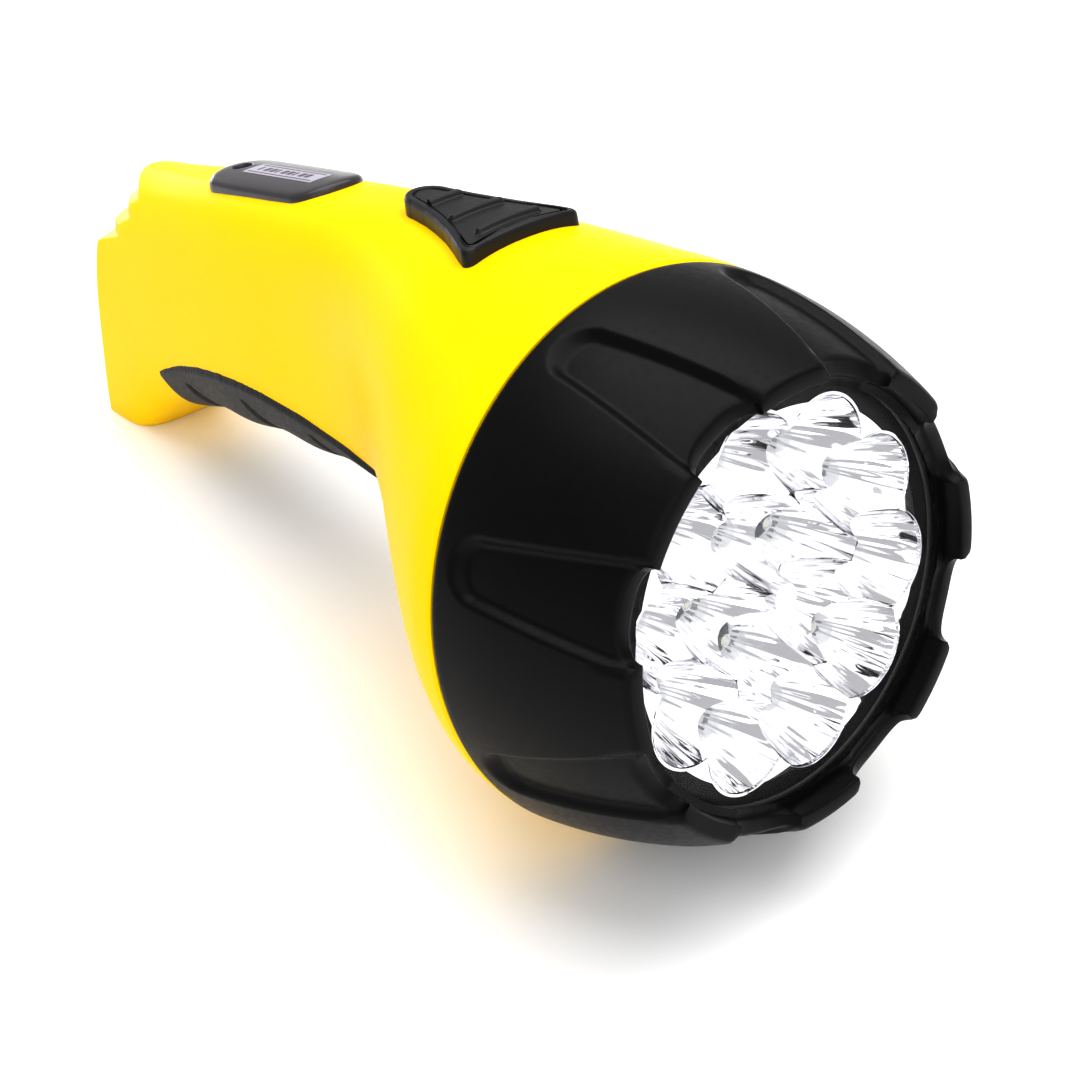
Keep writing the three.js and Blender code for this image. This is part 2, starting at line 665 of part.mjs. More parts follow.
// Pull-out mains plug in the tail.
const pinRoot = PIN_TIP + PIN_LENGTH;
const plugWidth = [-PLUG_HALF_WIDTH, PLUG_HALF_WIDTH];
const plugHeight = [PLUG_MIDDLE - PLUG_HALF_HEIGHT, PLUG_MIDDLE + PLUG_HALF_HEIGHT];
place('plug_carriage', shape(box([pinRoot + GAP, PLUG_FRONT], plugWidth, plugHeight)), BLACK);
for (const [name, sign] of [['plug_pin_upper', 1], ['plug_pin_lower', -1]]) {
  const pin = turned([[0, 0], [0, 1.4], [0.8, PIN_RADIUS], [PIN_LENGTH, PIN_RADIUS], [PIN_LENGTH, 0]], 16);
  place(name, shape(pin), STEEL, [PIN_TIP, 0, PLUG_MIDDLE + (sign * PIN_PITCH) / 2]);
}
const stemHeight = [PLUG_MIDDLE - THUMB_STEM_HALF, PLUG_MIDDLE + THUMB_STEM_HALF];
const thumbStem = box(THUMB_STEM, [PLUG_HALF_WIDTH + GAP, 14.2], stemHeight);
const thumbLength = [THUMB_STEM[0] - 2.5, THUMB_STEM[1] + 2.5];
const thumbPlate = box(thumbLength, [13.8, 15.6], [PLUG_MIDDLE - THUMB_HALF, PLUG_MIDDLE + THUMB_HALF]);
place('plug_thumb_slide', shape(thumbStem.add(thumbPlate)), BLACK);
for (const [name, y] of [['charge_contact_1', -3], ['charge_contact_2', 3]]) {
  place(name, shape(box([-150, -125], [y - 1.2, y + 1.2], [28.9, 29.5])), BRASS);
}

// Leads between the plug contacts, the battery, the driver board and the lamp board.
for (const [name, y, material] of [['charge_lead_1', -3, RED_WIRE], ['charge_lead_2', 3, BLACK_WIRE]]) {
  const rise = [[-124.6, y, 29.2], [-120, y, 31], [-118, y, 35], [-114, y, 38.8]];
  const route = [...rise, [-90, y, 39.4], [-66, y, 38.5], [-61.5, y, 34.8], [-59, y, 32]];
  place(name, lead(route, 0.8), material);
}
for (const [name, y, material] of [['battery_lead_1', -6, RED_WIRE], ['battery_lead_2', 6, BLACK_WIRE]]) {
  place(name, lead([[-62.6, y, 27], [-60.6, y, 27.4], [-59.6, y, 29.6], [-59, y, 31.6]], 0.8), material);
}
for (const [name, y, material] of [['lamp_lead_1', -4, RED_WIRE], ['lamp_lead_2', 4, BLACK_WIRE]]) {
  const route = [[-24.5, y, 32], [-18, y, 31.5], [-10, y, 28], [-2, y, 20], [3, y, 13], [7.7, y, 10.5]];
  place(name, lead(route, 0.8), material);
}

// Five screws hold the shells together, put in from the left side.
SCREWS.forEach(([x, z], number) => {
  const head = bossReach(x, z) - 2 + GAP;
  const screw = union([
    crossRod(x, z, SCREW_HEAD, head, head + 1.7, 16),
    crossRod(x, z, SCREW_SHANK, -7.5, head + 0.2, 10),
  ]);
  const slotA = box([x - 1.9, x + 1.9], [head + 0.9, head + 3], [z - 0.35, z + 0.35]);
  const slotB = box([x - 0.35, x + 0.35], [head + 0.9, head + 3], [z - 1.9, z + 1.9]);
  place(`shell_screw_${number + 1}`, shape(screw.subtract(slotA).subtract(slotB)), STEEL);
});

// Stand the torch on the floor, with the middle of its bounding box over the origin.
torch.rotation.y = -TILT;
torch.position.z = REST_HEIGHT;
torch.updateMatrixWorld(true);
const bounds = new THREE.Box3().setFromObject(torch, true);
torch.position.x = -(bounds.min.x + bounds.max.x) / 2;
torch.position.z -= bounds.min.z;

const model = new THREE.Group();
model.add(torch);

export default model;
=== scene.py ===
"""Looks of a rechargeable hand torch: yellow body, fluted black bezel, LED cups, slide switch and plug.

Shapes are worked out in the beam frame, in millimetres: x along the beam, y to the torch's left side, z up,
with x = 0 at the joint between body and bezel. to_row() turns them into the row frame, in metres.
"""

import json
import math

import bmesh
import bpy
import numpy as np
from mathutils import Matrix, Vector


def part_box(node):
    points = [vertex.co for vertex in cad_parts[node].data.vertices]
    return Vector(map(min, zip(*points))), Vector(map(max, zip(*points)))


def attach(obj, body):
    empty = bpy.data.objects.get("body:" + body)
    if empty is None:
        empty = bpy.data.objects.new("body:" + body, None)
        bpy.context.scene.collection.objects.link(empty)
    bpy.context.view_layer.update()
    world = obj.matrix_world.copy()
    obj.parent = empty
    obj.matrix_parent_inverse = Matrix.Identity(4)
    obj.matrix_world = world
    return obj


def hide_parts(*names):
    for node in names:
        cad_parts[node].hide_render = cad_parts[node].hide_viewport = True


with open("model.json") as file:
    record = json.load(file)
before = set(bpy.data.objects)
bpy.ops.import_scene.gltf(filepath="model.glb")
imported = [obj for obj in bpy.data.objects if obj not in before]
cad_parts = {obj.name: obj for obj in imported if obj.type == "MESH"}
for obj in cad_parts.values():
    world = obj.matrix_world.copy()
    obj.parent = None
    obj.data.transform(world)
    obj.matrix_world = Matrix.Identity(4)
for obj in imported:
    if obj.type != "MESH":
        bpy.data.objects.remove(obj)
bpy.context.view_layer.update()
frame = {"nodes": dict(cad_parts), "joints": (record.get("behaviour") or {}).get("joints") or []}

# ---------------------------------------------------------------- the beam frame, from the bezel's joint

MM = 0.001
JOINTS = {joint["name"]: joint for joint in frame["joints"]}
CENTRE = np.array(JOINTS["bezel_twist"]["pos_m"])
BEAM = np.array(JOINTS["bezel_twist"]["axis"])
SIDE = np.array([0.0, 1.0, 0.0])
RISE = np.cross(BEAM, SIDE)
TILT = math.atan2(BEAM[2], BEAM[0])
FLOOR_DROP = CENTRE[2] / MM            # height of the beam frame's origin over the floor


def to_row(points):
    """Beam-frame millimetres to row-frame metres."""
    points = np.asarray(points, float)
    return CENTRE + MM * (points[:, :1] * BEAM + points[:, 1:2] * SIDE + points[:, 2:] * RISE)


def floor_at(x):
    """Height in the beam frame of the floor under x."""
    return (-FLOOR_DROP - x * math.sin(TILT)) / math.cos(TILT)


# ---------------------------------------------------------------- driving dimensions

HEAD_RADIUS = 45.0
BEZEL_LENGTH = 31.2
BEZEL_TAPER = 3.2
BEZEL_BULGE = 6.1
RIM_BORE = 33.0
NOTCHES = 8
NOTCH_HALF_ANGLE = math.radians(11.35)
NOTCH_DEPTH = 3.1
FLUTE_DEPTH = 1.5
FLUTE_REAR = 7.8
FLUTE_REAR_RADIUS = 5.3
FLUTE_FRONT_HALF = 8.4
FLUTE_SLOPE = 1.9                      # width of a flute's side slope
FLUTE_REAR_SLOPE = 1.5                 # how much wider the slope is at the flute's rear end
NOTCH_POWERS = (3.2, 2.3)              # of the notch's rounded outline, across and along

LENS_FRONT = 27.4
REFLECTOR_FRONT = 25.7
CUP_RADIUS = 8.3
CUP_DEPTH = 13.0
CUP_HOLE = 2.9
INNER_CUPS = 5
INNER_CUP_CIRCLE = 9.8
OUTER_CUPS = 10
OUTER_CUP_CIRCLE = 22.0
OUTER_CUP_TURN = math.radians(8.5)
LED_RADIUS = 2.5
LED_BASE = 9.9
LED_HEIGHT = 8.6

SHELL_SCREWS = 5

SWITCH_REAR = -51.2
SWITCH_FRONT = -23.0
PLATE_REAR = -110.5
PLATE_FRONT = -73.0

REAR_WALL = (-152.9, 33.4)             # a point on the rear wall, in side view
REAR_LEAN = 0.344                      # how far the rear wall runs forwards per millimetre of height
REAR_FILLET = 1.8
NOSE_SWEEP = 0.12                      # how strongly the edges of the thumb steps curve in top view
STEP_EDGES = ((-142.3, 3.0), (-148.4, 1.9), (-156.4, 1.9))     # tip of each edge, and its fall
TREAD_SLOPE = 0.3
TREAD_BEND = 14.1                      # distance behind the first edge at which the slope changes
FAR_SLOPE = 0.2

PLUG_MIDDLE = 16.0
PIN_PITCH = 19.0
WINDOW_HALF_WIDTH = 5.3
WINDOW_HALF_HEIGHT = PIN_PITCH / 2 + 2.8
WINDOW_FLOOR = -126.5
WINDOW_SQUARENESS = 9.0
MOUTH_ROUNDING = 0.6                   # rounding of the window's edge in the rear wall

# Sections of the body: x, top, height of the widest line, bottom, half width, and the squareness of the
# upper and lower half, where 2 is an ellipse.
SECTIONS = np.array([
    [0, 45, 0, -45, 45, 2, 2],
    [-5, 45.8, 0.6, -44.2, 44.3, 2, 2],
    [-12, 46.5, 2, -41.2, 41.2, 2.05, 2],
    [-20, 47.1, 5, -35.5, 36.5, 2.2, 2],
    [-30, 47.8, 9.5, -26, 30, 2.45, 2.05],
    [-40, 48.3, 14, -16, 24.2, 2.6, 2.1],
    [-50, 48.8, 18, -7.8, 19.2, 2.8, 2.2],
    [-60, 49.1, 21, -3, 16, 3.1, 2.4],
    [-72, 49, 22.5, -0.8, 14.3, 3.4, 2.6],
    [-100, 48.4, 22.5, 0, 13.7, 3.1, 2.7],
    [-128, 46.8, 21, -0.6, 13.3, 2.5, 2.9],
    [-140, 46.4, 18, -3, 13.1, 2.4, 3.6],
    [-150, 46.2, 15, -9, 13, 2.4, 4.5],
    [-158, 46.2, 13, -15, 12.9, 2.5, 5],
    [-172, 46.2, 12, -20, 12.7, 2.6, 5],
])

BODY_SHARP_ANGLE = 34.0
BODY_COLUMNS = 256                     # a multiple of four, so that the seam falls on columns


# ---------------------------------------------------------------- small maths

def ramp(t, soft=0.3):
    """0 to 1 as t goes from 0 to 1: straight in the middle, rounded at both ends."""
    t = np.clip(t, 0.0, 1.0)
    slope = 1.0 / (1.0 - soft)
    low = slope * t * t / (2 * soft)
    middle = slope * (t - soft / 2)
    high = 1.0 - slope * (1.0 - t) ** 2 / (2 * soft)
    return np.where(t < soft, low, np.where(t > 1.0 - soft, high, middle))


def soft_min(a, b, radius):
    """The smaller of a and b, blended where they differ by less than the radius."""
    share = np.clip(0.5 + 0.5 * (b - a) / radius, 0.0, 1.0)
    return b + (a - b) * share - radius * share * (1.0 - share)


def soft_max(a, b, radius):
    return -soft_min(-a, -b, radius)


def section_at(x):
    """A smooth row of section values at x, with slopes taken from the neighbouring rows."""
    last = len(SECTIONS) - 1
    row = int(np.clip(np.searchsorted(-SECTIONS[:, 0], -x, side="right") - 1, 0, last - 1))
    before, start, end, after = (SECTIONS[min(max(row + step, 0), last)] for step in (-1, 0, 1, 2))
    span = end[0] - start[0]
    t = min(max((x - start[0]) / span, 0.0), 1.0)
    slope_in = (end[1:] - before[1:]) / (end[0] - before[0])
    slope_out = (after[1:] - start[1:]) / (after[0] - start[0])
    eased = start[1:] + (end[1:] - start[1:]) * t * t * (3 - 2 * t)
    return eased + span * (t * (1 - t) ** 2 * slope_in + t * t * (t - 1) * slope_out)


def quarter(half, height, power, count):
    """Points of a superellipse quarter from (half, 0) to (0, height), evenly spaced along it."""
    turn = np.linspace(0, math.pi / 2, 600)
    y = half * np.cos(turn) ** (2 / power)
    z = height * np.sin(turn) ** (2 / power)
    y[-1] = 0.0
    length = np.concatenate([[0], np.cumsum(np.hypot(np.diff(y), np.diff(z)))])
    places = np.linspace(0, length[-1], count + 1)
    return np.interp(places, length, y), np.interp(places, length, z)


def half_ring(x, count):
    """The body's outline at x on one side, from its bottom to its top: |y| and z."""
    top, middle, bottom, half, round_top, round_bottom = section_at(x)
    low_y, low_z = quarter(half, middle - bottom, round_bottom, count)
    high_y, high_z = quarter(half, top - middle, round_top, count)
    y = np.concatenate([low_y[::-1], high_y[1:]])
    z = np.concatenate([middle - low_z[::-1], middle + high_z[1:]])
    return y, z


def full_ring(x, columns=BODY_COLUMNS):
    """The whole outline at x: up the right side (-y), then down the left side (+y)."""
    y, z = half_ring(x, columns // 4)
    return np.concatenate([-y, y[-2:0:-1]]), np.concatenate([z, z[-2:0:-1]])


def top_height(x, y):
    """Height of the body's upper surface at one point."""
    top, middle, _, half, round_top, _ = section_at(x)
    return middle + (top - middle) * (1 - min(abs(y) / half, 1.0) ** round_top) ** (1 / round_top)


def half_width(x, z):
    """Half width of the body at height z."""
    top, middle, bottom, half, round_top, round_bottom = section_at(x)
    share = (z - middle) / (top - middle) if z > middle else (middle - z) / (middle - bottom)
    power = round_top if z > middle else round_bottom
    return half * (1 - min(share, 1.0) ** power) ** (1 / power)


# ---------------------------------------------------------------- mesh making

def finish_mesh(mesh, sharp_angle=38.0):
    """Smooth shading, with edges sharper than the angle kept crisp."""
    work = bmesh.new()
    work.from_mesh(mesh)
    bmesh.ops.remove_doubles(work, verts=work.verts, dist=1e-7)
    bmesh.ops.recalc_face_normals(work, faces=work.faces)
    for face in work.faces:
        face.smooth = True
    limit = math.radians(sharp_angle)
    for edge in work.edges:
        edge.smooth = len(edge.link_faces) != 2 or edge.calc_face_angle(0.0) < limit
    work.to_mesh(mesh)
    work.free()


def add_piece(name, points, faces, material, sharp_angle=38.0):
    """A mesh object from beam-frame points in millimetres."""
    mesh = bpy.data.meshes.new(name)
    mesh.from_pydata(to_row(points).tolist(), [], faces)
    finish_mesh(mesh, sharp_angle)
    mesh.materials.append(material)
    piece = bpy.data.objects.new(name, mesh)
    bpy.context.scene.collection.objects.link(piece)
    return piece


def grid_faces(rows, columns, close_columns=False, close_rows=False):
    """Four-sided faces over rows of points; the columns or the rows run round to their start if asked."""
    faces = []
    for row in range(rows if close_rows else rows - 1):
        below = row * columns
        above = ((row + 1) % rows) * columns
        for column in range(columns if close_columns else columns - 1):
            after = (column + 1) % columns
            faces.append((below + column, below + after, above + after, above + column))
    return faces


def capped_faces(rows, columns):
    """Faces over a stack of closed rings, with the first and the last ring filled in."""
    faces = grid_faces(rows, columns, close_columns=True)
    faces.append(tuple(range(columns - 1, -1, -1)))
    faces.append(tuple(range((rows - 1) * columns, rows * columns)))
    return faces


def slab_faces(rows, columns):
    """Faces of a closed slab: an upper grid, the lower grid that follows it, and the rim between them."""
    count = rows * columns
    faces = grid_faces(rows, columns)
    faces += [tuple(index + count for index in reversed(face)) for face in faces]
    rim = [row * columns for row in range(rows)]
    rim += [(rows - 1) * columns + column for column in range(1, columns)]
    rim += [row * columns + columns - 1 for row in range(rows - 2, -1, -1)]
    rim += range(columns - 2, 0, -1)
    for number, index in enumerate(rim):
        after = rim[(number + 1) % len(rim)]
        faces.append((index, after, after + count, index + count))
    return faces


def full_turn(count):
    """Evenly spaced angles round a circle."""
    return np.linspace(0, 2 * math.pi, count, endpoint=False)


def lathe(profile, segments, centre=(0.0, 0.0)):
    """A closed turned solid along the beam, from (x, radius) points that start and end on the axis."""
    turn = full_turn(segments)
    layers = []
    for x, radius in profile:
        layers.append(np.stack([
            np.full(segments, x), centre[0] + radius * np.cos(turn), centre[1] + radius * np.sin(turn),
        ], 1))
    return np.concatenate(layers), grid_faces(len(profile), segments, close_columns=True)


def swept(sections):
    """A closed ring round the beam, from the (x, radius) points of its section at each turn."""
    turn = full_turn(len(sections))
    points = [(x, r * math.cos(t), r * math.sin(t)) for t, section in zip(turn, sections) for x, r in section]
    return np.array(points), grid_faces(len(sections), len(sections[0]), close_columns=True, close_rows=True)


def arc(centre, radius, start, end, count):
    """Points of an arc in a profile; angles in degrees."""
    turn = [math.radians(angle) for angle in np.linspace(start, end, count)]
    return [(centre[0] + radius * math.cos(t), centre[1] + radius * math.sin(t)) for t in turn]


def join_parts(parts):
    """One set of points and faces from several (points, faces) pairs."""
    points = []
    faces = []
    count = 0
    for part_points, part_faces in parts:
        points.append(np.asarray(part_points, float))
        faces.extend(tuple(index + count for index in face) for face in part_faces)
        count += len(part_points)
    return np.concatenate(points), faces


def cut(piece, cutters):
    """Boolean difference, applied."""
    for cutter in cutters:
        modifier = piece.modifiers.new("cut", "BOOLEAN")
        modifier.operation = "DIFFERENCE"
        modifier.solver = "EXACT"
        modifier.object = cutter
    apply_modifiers(piece)
    for cutter in cutters:
        bpy.data.objects.remove(cutter)


def apply_modifiers(piece):
    """Turns the piece's modifiers into its mesh."""
    bpy.context.view_layer.update()
    graph = bpy.context.evaluated_depsgraph_get()
    mesh = bpy.data.meshes.new_from_object(piece.evaluated_get(graph))
    piece.modifiers.clear()
    piece.data = mesh


def node_middle(name):
    """Where a CAD node's middle lies along the beam and upwards, in beam-frame millimetres."""
    low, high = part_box(name)
    offset = (np.array((low + high) / 2) - CENTRE) / MM
    return offset @ BEAM, offset @ RISE


def settle(piece, body, slot_name, *replaced):
    """Gives a piece its body and hides the CAD nodes that it replaces; slot_name is not used."""
    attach(piece, body)
    if replaced:
        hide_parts(*replaced)
    return piece


# ---------------------------------------------------------------- materials

def new_material(name, color, roughness, metallic=0.0, **sockets):
    material = bpy.data.materials.new(name)
    material.use_nodes = True
    shader = material.node_tree.nodes["Principled BSDF"]
    shader.inputs["Base Color"].default_value = (*color, 1.0)
    shader.inputs["Roughness"].default_value = roughness
    shader.inputs["Metallic"].default_value = metallic
    for socket, value in sockets.items():
        shader.inputs[socket.replace("_", " ")].default_value = value
    return material


def noise(material, scale, detail=4.0):
    """A noise texture in object space; scale is in cells per metre."""
    nodes = material.node_tree.nodes
    links = material.node_tree.links
    place = nodes.new("ShaderNodeTexCoord")
    texture = nodes.new("ShaderNodeTexNoise")
    texture.inputs["Scale"].default_value = scale
    texture.inputs["Detail"].default_value = detail
    links.new(place.outputs["Object"], texture.inputs["Vector"])
    return texture


def add_bump(material, texture, strength, distance):
    nodes = material.node_tree.nodes
    links = material.node_tree.links
    bump = nodes.new("ShaderNodeBump")
    bump.inputs["Strength"].default_value = strength
    bump.inputs["Distance"].default_value = distance
    links.new(texture.outputs["Fac"], bump.inputs["Height"])
    links.new(bump.outputs["Normal"], nodes["Principled BSDF"].inputs["Normal"])


def vary(material, texture, socket, low, high):
    """Lets a socket wander between low and high with the texture."""
    nodes = material.node_tree.nodes
    links = material.node_tree.links
    spread = nodes.new("ShaderNodeMapRange")
    spread.inputs["From Min"].default_value = 0.3
    spread.inputs["From Max"].default_value = 0.7
    links.new(texture.outputs["Fac"], spread.inputs["Value"])
    if isinstance(low, tuple):
        mix = nodes.new("ShaderNodeMix")
        mix.data_type = "RGBA"
        ends = {"A": (*low, 1.0), "B": (*high, 1.0)}
        for entry in mix.inputs:
            if entry.type == "RGBA":
                entry.default_value = ends[entry.name]
        links.new(spread.outputs["Result"], mix.inputs["Factor"])
        result = next(output for output in mix.outputs if output.type == "RGBA")
        links.new(result, nodes["Principled BSDF"].inputs[socket])
    else:
        spread.inputs["To Min"].default_value = low
        spread.inputs["To Max"].default_value = high
        links.new(spread.outputs["Result"], nodes["Principled BSDF"].inputs[socket])


def moulded(name, color, tint, roughness, grain, depth, **sockets):
    """A moulded plastic: slight colour drift, uneven gloss and a fine grain of `grain` cells per metre."""
    material = new_material(name, color, roughness, **sockets)
    drift = noise(material, 40, 3)
    vary(material, drift, "Base Color", color, tint)
    uneven = noise(material, 900, 5)
    vary(material, uneven, "Roughness", roughness * 0.88, roughness * 1.14)
    add_bump(material, noise(material, grain, 2), 0.35, depth)
    return material


def metal_finish(name, color, roughness, grain=2500):
    material = new_material(name, color, roughness, metallic=1.0)
    vary(material, noise(material, grain, 4), "Roughness", roughness * 0.8, roughness * 1.3)
    return material


YELLOW = moulded("yellow_abs", (1.0, 0.61, 0.0), (1.0, 0.63, 0.0), 0.34, 9000, 0.00002,
                 Specular_IOR_Level=0.04)
BLACK = moulded("black_bezel", (0.0022, 0.002, 0.0024), (0.0032, 0.003, 0.0035), 0.36, 5200, 0.00004,
                Specular_IOR_Level=0.1)
BLACK_SWITCH = moulded("black_switch", (0.006, 0.0055, 0.0065), (0.008, 0.0075, 0.009), 0.38, 4200, 0.00006,
                       Specular_IOR_Level=0.25)
BLACK_PLUG = moulded("black_plug", (0.01, 0.01, 0.011), (0.014, 0.014, 0.015), 0.45, 6000, 0.00004)
GREY = moulded("grey_plate", (0.03, 0.026, 0.03), (0.036, 0.032, 0.036), 0.2, 7000, 0.000004,
               Specular_IOR_Level=0.3)
RUBBER = moulded("grip_rubber", (0.018, 0.018, 0.021), (0.024, 0.024, 0.027), 0.6, 3600, 0.0001,
                 Specular_IOR_Level=0.3)
SEAL = moulded("seal_rubber", (0.015, 0.015, 0.015), (0.02, 0.02, 0.02), 0.6, 5000, 0.00005)
FILM = moulded("sticker_film", (0.36, 0.33, 0.40), (0.42, 0.39, 0.46), 0.35, 8000, 0.00001)
INK = moulded("sticker_ink", (0.05, 0.045, 0.055), (0.07, 0.06, 0.075), 0.4, 8000, 0.00001)
INDICATOR = moulded("indicator_lens", (0.02, 0.05, 0.03), (0.03, 0.07, 0.04), 0.12, 5000, 0.00001)
CHROME = metal_finish("reflector_chrome", (0.93, 0.93, 0.95), 0.05, 1200)
STEEL = metal_finish("steel", (0.6, 0.6, 0.62), 0.28)
BRASS = metal_finish("brass", (0.65, 0.48, 0.2), 0.3)
BOARD_WHITE = moulded("lamp_board", (0.75, 0.75, 0.73), (0.8, 0.8, 0.78), 0.5, 5000, 0.00002)
BOARD_GREEN = moulded("circuit_board", (0.02, 0.14, 0.05), (0.03, 0.17, 0.06), 0.4, 5000, 0.00002)
BATTERY = moulded("battery_case", (0.09, 0.09, 0.1), (0.11, 0.11, 0.12), 0.5, 4000, 0.00004)
WIRE_RED = moulded("wire_red", (0.45, 0.02, 0.02), (0.52, 0.03, 0.03), 0.4, 5000, 0.00002)
WIRE_BLACK = moulded("wire_black", (0.02, 0.02, 0.02), (0.03, 0.03, 0.03), 0.4, 5000, 0.00002)
PHOSPHOR = moulded("led_phosphor", (0.75, 0.74, 0.6), (0.8, 0.79, 0.66), 0.5, 6000, 0.00002)


def clear_plastic(name, color, alpha, roughness):
    material = new_material(name, color, roughness, IOR=1.49)
    material.node_tree.nodes["Principled BSDF"].inputs["Alpha"].default_value = alpha
    vary(material, noise(material, 700, 3), "Roughness", roughness * 0.7, roughness * 1.5)
    return material


LENS = clear_plastic("clear_lens", (0.2, 0.2, 0.2), 0.03, 0.04)
RESIN = clear_plastic("led_resin", (0.9, 0.92, 0.95), 0.16, 0.05)


# ---------------------------------------------------------------- yellow body

STEP_LEVEL = 45.6                      # top of the tail at the first edge, before it falls
STEP_RISER = 0.9                       # length of a riser along the beam
UNCUT_RISE = 14.0                      # how far the cutting surface climbs in front of the first edge


def over_riser(distance):
    """0 to 1 over a riser, from the distance past its edge."""
    return ramp(distance / STEP_RISER + 0.1, 0.4)


def step_height(x, y):
    """Top of the tail where the thumb steps have cut it down; the steps curve forwards at both sides."""
    tip = x - NOSE_SWEEP * y * y
    first = STEP_EDGES[0][0]
    height = STEP_LEVEL + UNCUT_RISE * over_riser(tip - first)
    fallen = 0.0
    for edge, fall in STEP_EDGES:
        fallen = fallen + fall * over_riser(edge - tip)
    behind = np.clip(first - tip, 0.0, None)
    tread = TREAD_SLOPE * np.minimum(behind, TREAD_BEND) + FAR_SLOPE * np.clip(behind - TREAD_BEND, 0.0, None)
    return height - fallen - tread


def body_rows():
    """Stations along the body: dense at the joint edge and over the thumb steps."""
    front = [-0.3, -0.34, -0.5, -0.8, -1.3]
    handle = list(np.arange(-2.6, -122.0, -1.45))
    steps = list(np.arange(-122.5, REAR_WALL[0] + REAR_FILLET, -0.36))
    return front + handle + steps + [REAR_WALL[0] + REAR_FILLET]


TAIL_SPACING = 0.5
TAIL_STATIONS = np.arange(-174.0, -100.0, TAIL_SPACING)
TAIL_RINGS = np.array([full_ring(x) for x in TAIL_STATIONS])
LEAN_START = -124.0                    # behind here the rings lean over to meet the rear wall
LEAN_PASSES = 6                        # each pass brings a leaning ring nearer to its own outline
STEP_ROUNDING = 0.5
FLOOR_ROUNDING = 0.35
BODY_FRONT = -0.3
FRONT_ROUNDING = (0.5, 0.35)           # length along the beam and depth


def tail_ring(places):
    """Body outline in the tail with its own x for every column."""
    index = np.clip((places - TAIL_STATIONS[0]) / TAIL_SPACING, 0.0, len(TAIL_STATIONS) - 1.001)
    low = index.astype(int)
    share = index - low
    column = np.arange(len(places))
    start = TAIL_RINGS[low, :, column]
    end = TAIL_RINGS[low + 1, :, column]
    return (start + (end - start) * share[:, None]).T


def body_ring_points(x, inset=0.0, back=0.0):
    """One ring of the body, leaned with the rear wall, cut by the steps and the floor."""
    y, z = full_ring(x)
    lean = float(ramp((LEAN_START - x) / (LEAN_START - REAR_WALL[0] - REAR_FILLET), 0.5))
    along = np.full(len(y), float(x))
    for _ in range(LEAN_PASSES if lean > 0 else 0):
        standing = np.maximum(z, floor_at(along))
        along = 0.5 * (along + x + lean * REAR_LEAN * (standing - REAR_WALL[1]))
        y, z = tail_ring(along)
    if lean > 0:
        along = x + lean * REAR_LEAN * (np.maximum(z, floor_at(along)) - REAR_WALL[1])
    if inset:
        half = section_at(x)[3]
        y = y * (half - inset) / half
    along = along - back
    z = soft_min(z, step_height(along, y) - inset, STEP_ROUNDING)
    z = soft_max(z, floor_at(along) + inset, FLOOR_ROUNDING)
    behind_front = BODY_FRONT - x
    if behind_front < FRONT_ROUNDING[0]:
        edge = FRONT_ROUNDING[1] * (1 - ramp(behind_front / FRONT_ROUNDING[0], 0.5))
        radius = np.hypot(y, z)
        y = y * (radius - edge) / radius
        z = z * (radius - edge) / radius
    return np.stack([along, y, z], 1)


def window_ring(x, grow, columns=BODY_COLUMNS):
    """A rounded rectangle round the plug window, at x or, without one, in the rear wall."""
    y, z = quarter(WINDOW_HALF_WIDTH + grow, WINDOW_HALF_HEIGHT + grow, WINDOW_SQUARENESS, columns // 4)
    side_y = np.concatenate([y[::-1], y[1:]])
    side_z = np.concatenate([-z[::-1], z[1:]]) + PLUG_MIDDLE
    ring_y = np.concatenate([-side_y, side_y[-2:0:-1]])
    ring_z = np.concatenate([side_z, side_z[-2:0:-1]])
    if x is None:
        along = REAR_WALL[0] + REAR_LEAN * (ring_z - REAR_WALL[1])
    else:
        along = np.full(len(ring_y), x)
    return np.stack([along, ring_y, ring_z], 1)


def body_surface():
    """Rings from the front edge, round the rear wall and in through the window to its floor."""
    rings = [body_ring_points(x) for x in body_rows()]
    start = REAR_WALL[0] + REAR_FILLET
    for angle in np.linspace(15, 90, 6):
        turn = math.radians(angle)
        inset = REAR_FILLET * (1 - math.cos(turn))
        rings.append(body_ring_points(start, inset, REAR_FILLET * math.sin(turn)))
    last = rings[-1]
    mouth = window_ring(None, MOUTH_ROUNDING)
    for share in (0.25, 0.5, 0.75):
        rings.append(last + (mouth - last) * share)
    rings.append(mouth)
    for angle in (30, 60, 90):
        turn = math.radians(angle)
        ring = window_ring(None, MOUTH_ROUNDING - MOUTH_ROUNDING * math.sin(turn))
        ring[:, 0] += MOUTH_ROUNDING * (1 - math.cos(turn))
        rings.append(ring)
    throat = rings[-1]
    floor = window_ring(WINDOW_FLOOR, 0.0)
    for share in (0.3, 0.65, 1.0):
        rings.append(throat + (floor - throat) * share)
    return rings


SLOT_ENDS = (-131.3, -152.2)           # middles of the slot's two round ends
SLOT_LEVELS = ((9.0, 1.8), (12.2, 1.8), (12.6, 1.9), (13.6, 3.0), (16.0, 3.2))     # distance out, half height
WELL_LEVELS = ((-5.2, 3.1), (-0.5, 3.15), (-0.1, 3.5), (0.6, 4.4))     # distance out from the skin, radius
WELL_END = (62.0, 4.6)                 # distance out from the middle plane, radius
WELL_SIDES = 40


def plug_slot_cutter():
    """The slot that the thumb slide of the plug runs in, with a flared mouth."""
    outline = []
    for centre, first in zip(SLOT_ENDS, (-90.0, 90.0)):
        for angle in np.linspace(first, first + 180, 13):
            turn = math.radians(angle)
            outline.append((centre, math.cos(turn), math.sin(turn)))
    points = []
    for y, radius in SLOT_LEVELS:
        for centre, across, up in outline:
            points.append((centre + radius * across, y, PLUG_MIDDLE + radius * up))
    faces = capped_faces(len(SLOT_LEVELS), len(outline))
    return add_piece("slot_cutter", np.array(points), faces, YELLOW)


